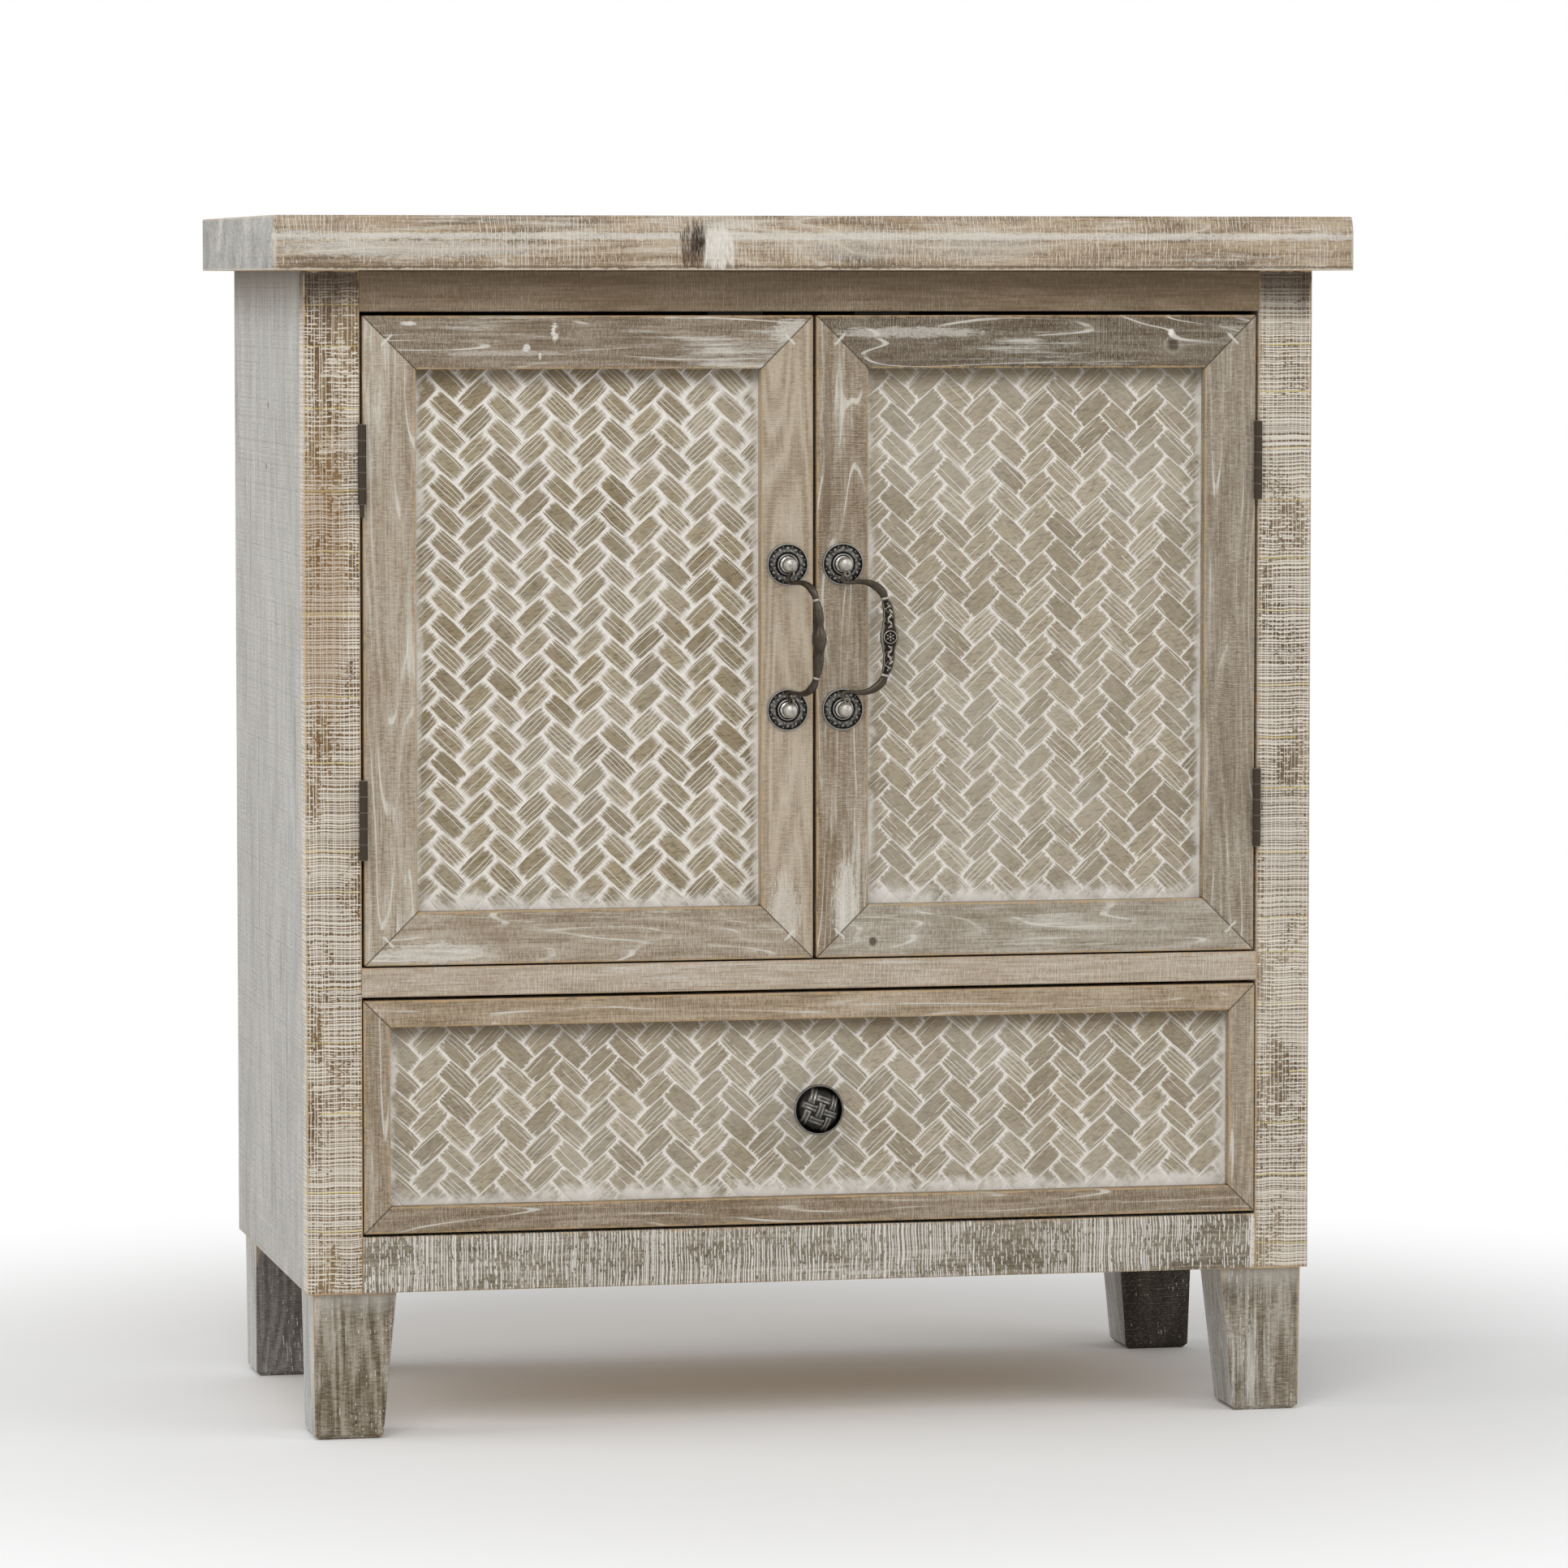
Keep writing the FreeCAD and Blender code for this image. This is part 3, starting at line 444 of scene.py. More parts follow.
def make_saw_lines():
    """Broken pale lines square to the grain, as paint left in saw marks."""
    tree, takes, gives = effect(
        "Saw Lines",
        {"Spacing": 3.0, "Thickness": 0.4, "Cover": 0.5, "Wander": 1.0, "Seed": 0.0, "Length": 8.0,
         "Crowd": 0.65},
        ("Lines",))
    place, thickness = takes["Place"], takes["Thickness"]
    x, y, z = split(tree, place)
    bend = less(tree, noise(tree, place, (0.03, 0.06, 0.06), 1.0), 0.5)
    run = calc(tree, "DIVIDE", scaled(tree, bend, takes["Wander"], x), takes["Spacing"])
    cell = calc(tree, "FLOOR", run)
    name = calc(tree, "ADD", cell, takes["Seed"])
    spot = scaled(tree, dice(tree, name), 0.6, 0.2)
    gap = times(tree, calc(tree, "ABSOLUTE", less(tree, less(tree, run, cell), spot)), takes["Spacing"])
    line = fade(tree, gap, thickness, times(tree, thickness, 0.4))
    short = calc(tree, "DIVIDE", 1.0, takes["Length"])
    spread = built(tree, times(tree, name, 7.31), times(tree, y, short), times(tree, z, short))
    hold = noise(tree, spread, 1, 2.0, 0.6)
    least = scaled(tree, takes["Cover"], -0.45, 0.72)
    crowd = less(tree, noise(tree, place, (0.014, 0.03, 0.03)), 0.5)
    least = less(tree, least, times(tree, crowd, takes["Crowd"]))
    kept = fade(tree, hold, less(tree, least, 0.035), calc(tree, "ADD", least, 0.035))
    strong = scaled(tree, dice(tree, calc(tree, "ADD", name, 91.0)), 0.4, 0.6)
    feed(tree, times(tree, line, kept, strong), gives["Lines"])


def make_brushed_white():
    """Streaks and patches of thin white paint along the grain."""
    tree, takes, gives = effect("Brushed White", {"Amount": 0.4}, ("Paint",))
    broad = noise(tree, takes["Place"], (0.007, 0.025, 0.025), 3.0, 0.6)
    streak = noise(tree, takes["Place"], (0.016, 0.45, 0.45), 3.0, 0.65)
    fine = noise(tree, takes["Place"], (0.3, 2.0, 2.0), 1.0)
    whole = scaled(tree, broad, 0.55, scaled(tree, streak, 0.35, times(tree, fine, 0.1)))
    least = scaled(tree, takes["Amount"], -0.28, 0.66)
    feed(tree, fade(tree, whole, least, calc(tree, "ADD", least, 0.13)), gives["Paint"])


def make_worn_arris():
    """Where a board's edges are rubbed bare, from its own box."""
    tree, takes, gives = effect("Worn Arris", {"Low": None, "High": None, "Width": 0.0015}, ("Wear",))
    place, width = takes["Place"], takes["Width"]
    under = vector_calc(tree, "SUBTRACT", place, takes["Low"])
    over = vector_calc(tree, "SUBTRACT", takes["High"], place)
    x, y, z = split(tree, vector_calc(tree, "MINIMUM", under, over))
    least, most = calc(tree, "MINIMUM", x, y), calc(tree, "MAXIMUM", x, y)
    middle = calc(tree, "MAXIMUM", least, calc(tree, "MINIMUM", most, z))
    ragged = less(tree, noise(tree, place, 160, 3.0, 0.6), 0.5)
    middle = scaled(tree, times(tree, ragged, width), 2.6, middle)
    feed(tree, fade(tree, middle, width, times(tree, width, 0.4)), gives["Wear"])


def make_knot():
    """A knot: its dark heart and the ring of grain round it."""
    tree, takes, gives = effect("Knot", {"Centre": None, "Size": 0.004}, ("Heart", "Ring"))
    away = vector_calc(tree, "SUBTRACT", takes["Place"], takes["Centre"])
    reach = calc(tree, "DIVIDE", vector_calc(tree, "LENGTH", away), takes["Size"])
    reach = swayed(tree, reach, noise(tree, takes["Place"], 240), 0.9)
    feed(tree, fade(tree, reach, 1.0, 0.6), gives["Heart"])
    feed(tree, fade(tree, calc(tree, "ABSOLUTE", less(tree, reach, 1.35)), 0.35, 0.05), gives["Ring"])


def make_mitre():
    """The dark joint line of a mitre, and the filled staple across it."""
    tree, takes, gives = effect("Mitre", {"Corner": None, "Slope": 1.0}, ("Line", "Staple"))
    x, _, z = split(tree, vector_calc(tree, "SUBTRACT", takes["Place"], takes["Corner"]))
    z = times(tree, z, takes["Slope"])
    off = calc(tree, "ABSOLUTE", times(tree, less(tree, x, z), HALF_DIAGONAL))
    along = calc(tree, "ABSOLUTE", times(tree, calc(tree, "ADD", x, z), HALF_DIAGONAL))
    wavy = times(tree, less(tree, noise(tree, takes["Place"], 330), 0.5), 0.0022)
    gap = calc(tree, "ABSOLUTE", calc(tree, "ADD", less(tree, along, STAPLE_REACH), wavy))
    length = fade(tree, calc(tree, "ADD", off, wavy), STAPLE_HALF_LENGTH, 0.004)
    feed(tree, fade(tree, off, 0.00055, 0.0002), gives["Line"])
    feed(tree, times(tree, fade(tree, gap, 0.0011, 0.0005), length), gives["Staple"])


class CABINET_OT_effects(bpy.types.Operator):
    """Builds the node groups that the finishes share"""
    bl_idname = "cabinet.effects"
    bl_label = "Build the Shared Effects"

    def execute(self, context):
        for make in (make_wood_grain, make_saw_lines, make_brushed_white, make_worn_arris, make_knot,
                     make_mitre):
            make()
        return {"FINISHED"}


# ---------------------------------------------------------------- finishes

GRAIN_TURN = {"X": (0, 0, 0), "Z": (0, math.radians(90), 0), "Y": (0, 0, math.radians(-90))}
WOOD_STOPS = (0.16, 0.5, 0.84)
CARVING_STOPS = (0.12, 0.5, 0.88)
WEAVE = (1.25, 0.26, 0.45)  # the finest saw marks, on every board: spacing, thickness and cover
WEAVE_LENGTH = 2.6
BRICK_WIDTH, BRICK_LENGTH = 12.4, 25.0  # in millimetres
LOWER_HINGE = 0.370  # the lower hinges' foot
HINGE_RISE = 0.225  # from the lower hinges to the upper ones
KNUCKLE = 0.01016  # from one knuckle to the next
WHITE_FROM, WHITE_BY = 0.4, 1.05  # how far out the floor begins to turn white, and is white


def grain_place(tree, place, grain, seed):
    """Millimetres with the first axis along the grain, shifted so that no two boards match."""
    step = tree.nodes.new("ShaderNodeMapping")
    feed(tree, place, step.inputs["Vector"])
    step.inputs["Scale"].default_value = (1000, 1000, 1000)
    step.inputs["Rotation"].default_value = GRAIN_TURN[grain]
    step.inputs["Location"].default_value = (seed * 377.0, seed * 91.0, seed * 53.0)
    return step.outputs[0]


def paint_patch(tree, base, place, along, patch):
    """A ragged patch of colour round a centre, or one of tall strokes across the grain."""
    centre, radius, code, share, *strokes = patch
    away = vector_calc(tree, "SUBTRACT", place, centre)
    reach = vector_calc(tree, "LENGTH", vector_calc(tree, "DIVIDE", away, radius))
    ragged = noise(tree, along, (0.75, 0.07, 0.07) if strokes else (0.16, 0.9, 0.9), 4.0, 0.7)
    speckle = noise(tree, along, (1.3, 0.2, 0.2) if strokes else (0.55, 1.5, 1.5), 2.0, 0.6)
    inside = fade(tree, swayed(tree, reach, ragged, 1.9), 1.0, 0.6)
    cover = times(tree, inside, scaled(tree, fade(tree, speckle, 0.3, 0.58), 0.6, 0.4))
    return laid(tree, base, cover, min(1.0, share * 1.15), tint(code))


def timber(node, grain, tones, context, seed, white=0.3, rings=0.3, blotches=0.7, saws=(), crowd=0.65,
           weave=0.3, streaks=0.0, lines=0.0, arris=0.0, arris_share=0.8, arris_code=None, side_tones=None,
           shades=(), patches=(), knots=(), corners=()):
    """The finish of one board: its grain, what is left of its paint, its wear and its marks, with painted
    shadow where its shades darken it under the top.
    """
    colours = context.scene.cabinet_colours
    chalk, cream, deep = solid(colours.whitewash), solid(colours.saw_cream), solid(colours.deep_brown)
    finish, tree, shader, place = fresh_finish(node + "_wood", 0.78, specular=0.25)
    along = grain_place(tree, place, grain, seed)
    outward = split(tree, tree.nodes["Texture Coordinate"].outputs["Normal"])
    end_grain = fade(tree, calc(tree, "ABSOLUTE", outward["XYZ".index(grain)]), 0.6, 0.8)
    rings = times(tree, less(tree, 1.0, end_grain), rings)
    wood = with_effect(tree, "Wood Grain", place=along, rings=rings, blotches=blotches)
    base = ramp(tree, wood["Tone"], WOOD_STOPS, map(tint, tones))
    if side_tones:
        sideways = fade(tree, calc(tree, "ABSOLUTE", outward[0]), 0.6, 0.8)
        base = mixed(tree, sideways, base, ramp(tree, wood["Tone"], WOOD_STOPS, map(tint, side_tones)))
    base = laid(tree, base, wood["Pores"], 0.3, deep)
    height = times(tree, wood["Height"], 0.6)
    sawn = fade(tree, noise(tree, place, (320, 55, 700), 3.0, 0.65), 0.48, 0.66)
    base = laid(tree, base, times(tree, sawn, end_grain), 0.4, tint("857f76"))
    if white:
        paint = with_effect(tree, "Brushed White", place=along, amount=white)["Paint"]
        base = laid(tree, base, paint, 0.72, chalk)
        height = scaled(tree, paint, 0.25, height)
    if lines:
        base = laid(tree, base, wood["Lines"], lines, chalk)
    if streaks:
        x, y, z = split(tree, along)
        across = built(tree, calc(tree, "ADD", y, z), x, less(tree, y, z))
        thin = with_effect(tree, "Saw Lines", place=across, spacing=2.6, thickness=0.42, cover=streaks,
                           wander=1.2, seed=float(seed + 40), length=4.5)["Lines"]
        base = laid(tree, base, thin, 0.9, chalk)
    for spacing, thickness, cover, share, length_of, *own_code in ((*WEAVE, weave, WEAVE_LENGTH), *saws):
        marks = with_effect(tree, "Saw Lines", place=along, spacing=spacing, thickness=thickness, cover=cover,
                            wander=2.4, seed=seed + spacing, length=length_of, crowd=crowd)["Lines"]
        base = laid(tree, base, marks, share, tint(*own_code) if own_code else cream)
        height = scaled(tree, marks, -0.35, height)
    # A tone laid between two heights; where it darkens a board just under the top, it is painted shadow of the
    # top's overhang.
    for start, end, code, share in shades:
        level = swayed(tree, split(tree, place)[2], noise(tree, along, (0.02, 0.1, 0.1), 3.0), 0.03)
        base = laid(tree, base, fade(tree, level, start, end), share, tint(code))
    for patch in patches:
        base = paint_patch(tree, base, place, along, patch)
    for centre, size in knots:
        knot = with_effect(tree, "Knot", place=place, centre=centre, size=size)
        base = laid(tree, laid(tree, base, knot["Heart"], 0.75, deep), knot["Ring"], 0.15, chalk)
    if arris:
        low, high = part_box(node)
        wear = with_effect(tree, "Worn Arris", place=place, low=low, high=high, width=arris)["Wear"]
        bare = tint(arris_code) if arris_code else solid(colours.bare_arris)
        base = laid(tree, base, wear, arris_share, bare)
        height = scaled(tree, wear, -0.3, height)
    for corner, slope, staple in corners:
        joint = with_effect(tree, "Mitre", place=place, corner=corner, slope=slope)
        base = laid(tree, laid(tree, base, joint["Line"], 0.8, deep), joint["Staple"], 0.8 * staple, chalk)
        height = less(tree, height, joint["Line"])
    feed(tree, base, shader.inputs["Base Color"])
    feed(tree, scaled(tree, wood["Height"], 0.22, 0.66), shader.inputs["Roughness"])
    roughen(tree, shader, height, 0.0006, 0.55)
    return finish


def carved_wood(name, opening, whites, context):
    """Khaki bricks with white in their grooves, at their ends and round the panel's edge, and painted shadow
    under the frame's upper edge.
    """
    colours = context.scene.cabinet_colours
    finish, tree, shader, place = fresh_finish(name, 0.8, specular=0.2)
    flat = tree.nodes.new("ShaderNodeUVMap")
    flat.uv_map = "UVMap"
    u, v, _ = split(tree, flat.outputs[0])
    chance = painted(tree, "chance")
    own = built(tree, scaled(tree, chance, 31.0, u), v, times(tree, chance, 17.0))
    blotch = noise(tree, place, 18, 3.0, 0.6)

    # White along a brick's edges and, in streaks, at its ends.
    from_side = times(tree, calc(tree, "MINIMUM", v, less(tree, 1.0, v)), BRICK_WIDTH)
    from_end = times(tree, calc(tree, "MINIMUM", u, less(tree, 1.0, u)), BRICK_LENGTH)
    nearest = calc(tree, "MINIMUM", from_side, times(tree, from_end, 0.8))
    nearest = swayed(tree, nearest, noise(tree, own, (7.0, 34.0, 1.0), 2.0, 0.6), 0.55)
    wide = 0.16 + 0.18 * whites
    edge = fade(tree, nearest, wide, wide * 0.4)
    bold = scaled(tree, blotch, 1.3, scaled(tree, chance, 0.7, whites - 1.0))
    streaked = swayed(tree, from_end, noise(tree, own, (2.0, 15.0, 1.0), 3.0, 0.65), 11.0)
    ends = times(tree, fade(tree, streaked, scaled(tree, bold, 2.6, 0.2), -0.2), 0.92)

    # Scored lines along a brick, each whole or broken, or left out by chance.
    sway = scaled(tree, noise(tree, own, (1.0, 0.5, 1.0), 0.0), 0.14, v)
    run = scaled(tree, sway, 4.6, times(tree, chance, 5.0))
    line_name = calc(tree, "ADD", calc(tree, "FLOOR", run), calc(tree, "FLOOR", times(tree, chance, 9000.0)))
    present = calc(tree, "GREATER_THAN", dice(tree, line_name), 0.78 - 0.28 * whites)
    off_line = calc(tree, "ABSOLUTE", less(tree, calc(tree, "FRACT", run), 0.5))
    torn = scaled(tree, noise(tree, own, (2.4, 5.0, 1.0)), 0.9, times(tree, bold, 0.2))
    scores = times(tree, fade(tree, off_line, 0.1, 0.04), fade(tree, torn, 0.42, 0.54), present)

    # White dust along the panel's sides and foot, and painted shadow under the frame's upper edge.
    low, high = opening
    x, _, z = split(tree, place)
    across = calc(tree, "MINIMUM", less(tree, x, low[0]), less(tree, high[0], x))
    below = times(tree, less(tree, z, low[1]), 0.75)
    rim = calc(tree, "MINIMUM", times(tree, across, 1.5), below)
    rim = swayed(tree, rim, noise(tree, place, 70, 4.0, 0.7), 0.028)
    halo = times(tree, fade(tree, rim, 0.0095, 0.0), 0.8)
    painted_shadow = fade(tree, less(tree, high[1], z), 0.016, 0.001)

    wood = noise(tree, own, (3.0, 26.0, 1.0), 3.0, 0.65)
    tone = swayed(tree, scaled(tree, chance, 0.3, 0.35), wood, 1.5)
    tones = [solid(shade) for shade in (colours.carving_dark, colours.carving_mid, colours.carving_pale)]
    base = ramp(tree, tone, CARVING_STOPS, tones)
    slanted = tree.nodes.new("ShaderNodeMapping")
    feed(tree, place, slanted.inputs["Vector"])
    slanted.inputs["Rotation"].default_value = (0, math.radians(14), 0)
    dashes = fade(tree, noise(tree, slanted.outputs[0], (170, 1, 620), 3.0, 0.7), 0.5, 0.62)
    base = laid(tree, base, dashes, 0.5, tint("5a4e3a"))
    haze = scaled(tree, fade(tree, blotch, 0.36, 0.68), 0.12, 0.19 - 0.14 * whites)
    for mask in (haze, ends, scores, halo, edge):
        base = mixed(tree, mask, base, solid(colours.groove_white))
    # Painted shadow darkens the bricks just under the frame's upper edge.
    feed(tree, laid(tree, base, painted_shadow, 0.6, tint("6b5b44")), shader.inputs["Base Color"])
    roughen(tree, shader, less(tree, wood, times(tree, scores, 0.7)), 0.0005, 0.5)
    return finish


def carved_ground(context):
    """The chalky bottom of the grooves."""
    finish, tree, shader, place = fresh_finish("groove_white", 0.9)
    dust = fade(tree, noise(tree, place, 300, 3.0, 0.6), 0.4, 0.7)
    chalk = solid(context.scene.cabinet_colours.groove_white)
    feed(tree, mixed(tree, dust, chalk, tint("c9c1b2")), shader.inputs["Base Color"])
    return finish


def metal(name, dark, mid, bright, metallic, roughness, rubbed=0.55, specular=0.5):
    """An aged metal: dark in its hollows, rubbed bright where it bends outward more than a value."""
    finish, tree, shader, place = fresh_finish(name, roughness, metallic, specular)
    dark, mid, bright = tint(dark), tint(mid), tint(bright)
    bend = tree.nodes.new("ShaderNodeNewGeometry").outputs["Pointiness"]
    patches = noise(tree, place, 260, 4.0, 0.6)
    base = ramp(tree, swayed(tree, bend, patches, 0.09), (0.46, 0.5, rubbed), (dark, mid, bright))
    relief = painted(tree, "relief")
    base = laid(tree, base, fade(tree, relief, 0.0, 1.0), 0.75, bright)
    base = laid(tree, base, fade(tree, relief, 0.0, -1.0), 0.9, dark)
    feed(tree, base, shader.inputs["Base Color"])
    feed(tree, scaled(tree, patches, 0.3, roughness - 0.15), shader.inputs["Roughness"])
    roughen(tree, shader, noise(tree, place, 900), 0.0002, 0.35)
    return finish


def hinge_bronze():
    """Dark bronze, with pale gaps between the knuckles."""
    finish = metal("hinge_bronze", "16120c", "2c251b", "3e352a", 0.1, 0.6, specular=0.25)
    tree = finish.node_tree
    z = split(tree, tree.nodes["Texture Coordinate"].outputs["Object"])[2]
    upper = calc(tree, "GREATER_THAN", z, 0.5)
    start = scaled(tree, upper, HINGE_RISE, LOWER_HINGE)
    part = calc(tree, "FRACT", calc(tree, "DIVIDE", less(tree, z, start), KNUCKLE))
    gap = fade(tree, calc(tree, "MINIMUM", part, less(tree, 1.0, part)), 0.045, 0.015)
    socket = tree.nodes["Principled BSDF"].inputs["Base Color"]
    feed(tree, laid(tree, socket.links[0].from_socket, gap, 0.75, tint("7d766a")), socket)
    return finish


def catch_plastic():
    """The brown plastic of the catches, a little grimy."""
    finish, tree, shader, place = fresh_finish("catch_plastic", 0.45)
    grime = fade(tree, noise(tree, place, 180, 3.0, 0.6), 0.4, 0.7)
    feed(tree, mixed(tree, grime, tint("3a2f27"), tint("4a3e34")), shader.inputs["Base Color"])
    roughen(tree, shader, noise(tree, place, 900), 0.0002, 0.3)
    return finish


def floor_white():
    """A pale floor that keeps the shadow and runs out into white."""
    finish, tree, shader, place = fresh_finish("floor_white", 0.95, specular=0.0)
    pale = mixed(tree, noise(tree, place, 30), (0.93, 0.93, 0.93, 1), (0.95, 0.95, 0.95, 1))
    feed(tree, pale, shader.inputs["Base Color"])
    plain = tree.nodes.new("ShaderNodeEmission")
    x, y, _ = split(tree, place)
    far = fade(tree, vector_calc(tree, "LENGTH", built(tree, x, y, 0.0)), WHITE_FROM, WHITE_BY)
    shown(tree, times(tree, in_view(tree), far), shader.outputs[0], plain.outputs[0],
          tree.nodes["Material Output"].inputs[0])
    return finish


def light_world(context):
    """Even light from all round, and plain white where the camera looks past the object."""
    world = bpy.data.worlds.new("studio_white")
    world.use_nodes = True
    context.scene.world = world
    tree = world.node_tree
    soft, plain = tree.nodes["Background"], tree.nodes.new("ShaderNodeBackground")
    for light in (soft, plain):
        light.inputs["Color"].default_value = (1, 1, 1, 1)
    soft.inputs["Strength"].default_value = context.scene.cabinet_stage.world_light
    shown(tree, in_view(tree), soft.outputs[0], plain.outputs[0], tree.nodes["World Output"].inputs[0])


# ---------------------------------------------------------------- the boards and the plain metal

# The mitred frames: their members at the left and the right, and how white the staples at their corners are.
MITRED_FRAMES = {
    "left_door": ("hinge", "meeting", 1.0),
    "right_door": ("meeting", "hinge", 1.0),
    "drawer_front": ("left", "right", 0.0),
}


def mitres():
    """The two mitres of each frame member: the corner, the way the joint runs, and its staple's white."""
    found = {}
    for whole, (left, right, staple) in MITRED_FRAMES.items():
        low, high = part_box(whole + "_bottom_member")[0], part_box(whole + "_top_member")[1]
        corners = [(Vector((x, 0, z)), slope, staple) for x, z, slope in (
            (low.x, high.z, -1.0), (high.x, high.z, 1.0), (high.x, low.z, -1.0), (low.x, low.z, 1.0))]
        for side, ends in (("top", (0, 1)), (right, (1, 2)), ("bottom", (3, 2)), (left, (0, 3))):
            found[f"{whole}_{side}_member"] = [corners[end] for end in ends]
    return found


def frame_opening(whole):
    """The lower left and the upper right corner of the opening in a mitred frame, across and up."""
    left, right, _ = MITRED_FRAMES[whole]
    return ((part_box(f"{whole}_{left}_member")[1].x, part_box(whole + "_bottom_member")[1].z),
            (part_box(f"{whole}_{right}_member")[0].x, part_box(whole + "_top_member")[0].z))


PATCH_DEPTH = 0.02  # how far a patch of paint goes on round an edge


def patches_on(face, *patches):
    """Patches on a face that looks forward: across, up, reach across, reach up, colour and strength."""
    return [((x, face, z), (wide, PATCH_DEPTH, tall), *rest) for x, z, wide, tall, *rest in patches]


# Saw marks are spacing, thickness, cover, strength and length in millimetres, and a colour of their own if any.
FINE_SAW = (2.3, 0.26, 0.35, 0.6, 6.0)
RAIL_SAWS = ((2.0, 0.42, 0.62, 1.0, 6.0, "eae6df"), (3.1, 0.6, 0.5, 1.0, 9.0, "eae6df"))
DOOR_CUT = dict(arris=0.0013, arris_share=0.75, rings=0.2, lines=0.75, weave=0.35)
LEFT_FACE = ("97948e", "b3b2ae", "c6c5c3")
# The stiles' dark band just under the top is painted shadow of the top's overhang.
STILE_CUT = dict(rings=0.1, blotches=1.3, crowd=1.2, weave=0.4, arris=0.0012, side_tones=LEFT_FACE,
                 shades=((0.700, 0.738, "46372a", 0.85),))
LEG_CUT = dict(rings=0.4, blotches=1.3, weave=0.2, arris=0.0022, arris_share=0.45, streaks=0.12,
               side_tones=LEFT_FACE, shades=((0.075, 0.098, "c9c4bb", 0.6),))
SIDE_TONES = ("9d9a94", "b6b4b0", "cbc9c6")
# Fine cracks in both side panels: how far back, how high, and how tall.
CRACKS = (
    (-0.10, 0.42, 0.06), (-0.055, 0.25, 0.09), (0.02, 0.16, 0.07), (0.075, 0.36, 0.12), (0.11, 0.58, 0.05),
    (-0.02, 0.61, 0.04))


def side_panel(face, knots):
    """A side panel's marks, with its cracks and its knots on its outer face."""
    return dict(
        white=0.34, rings=0.15, blotches=1.0, weave=0.5, streaks=0.3, arris=0.001, arris_share=0.4,
        saws=((3.1, 0.3, 0.55, 0.5, 5.0, "8f8b84"), (13.0, 0.4, 0.7, 0.35, 24.0, "8a857d")),
        # A darker band just under the top: painted shadow of the top's overhang.
        shades=((0.700, 0.738, "6f6658", 0.7),),
        patches=[((face, y, z), (PATCH_DEPTH, 0.0018, tall), "77726a", 0.6) for y, z, tall in CRACKS],
        knots=[((face, y, z), size) for y, z, size in knots])
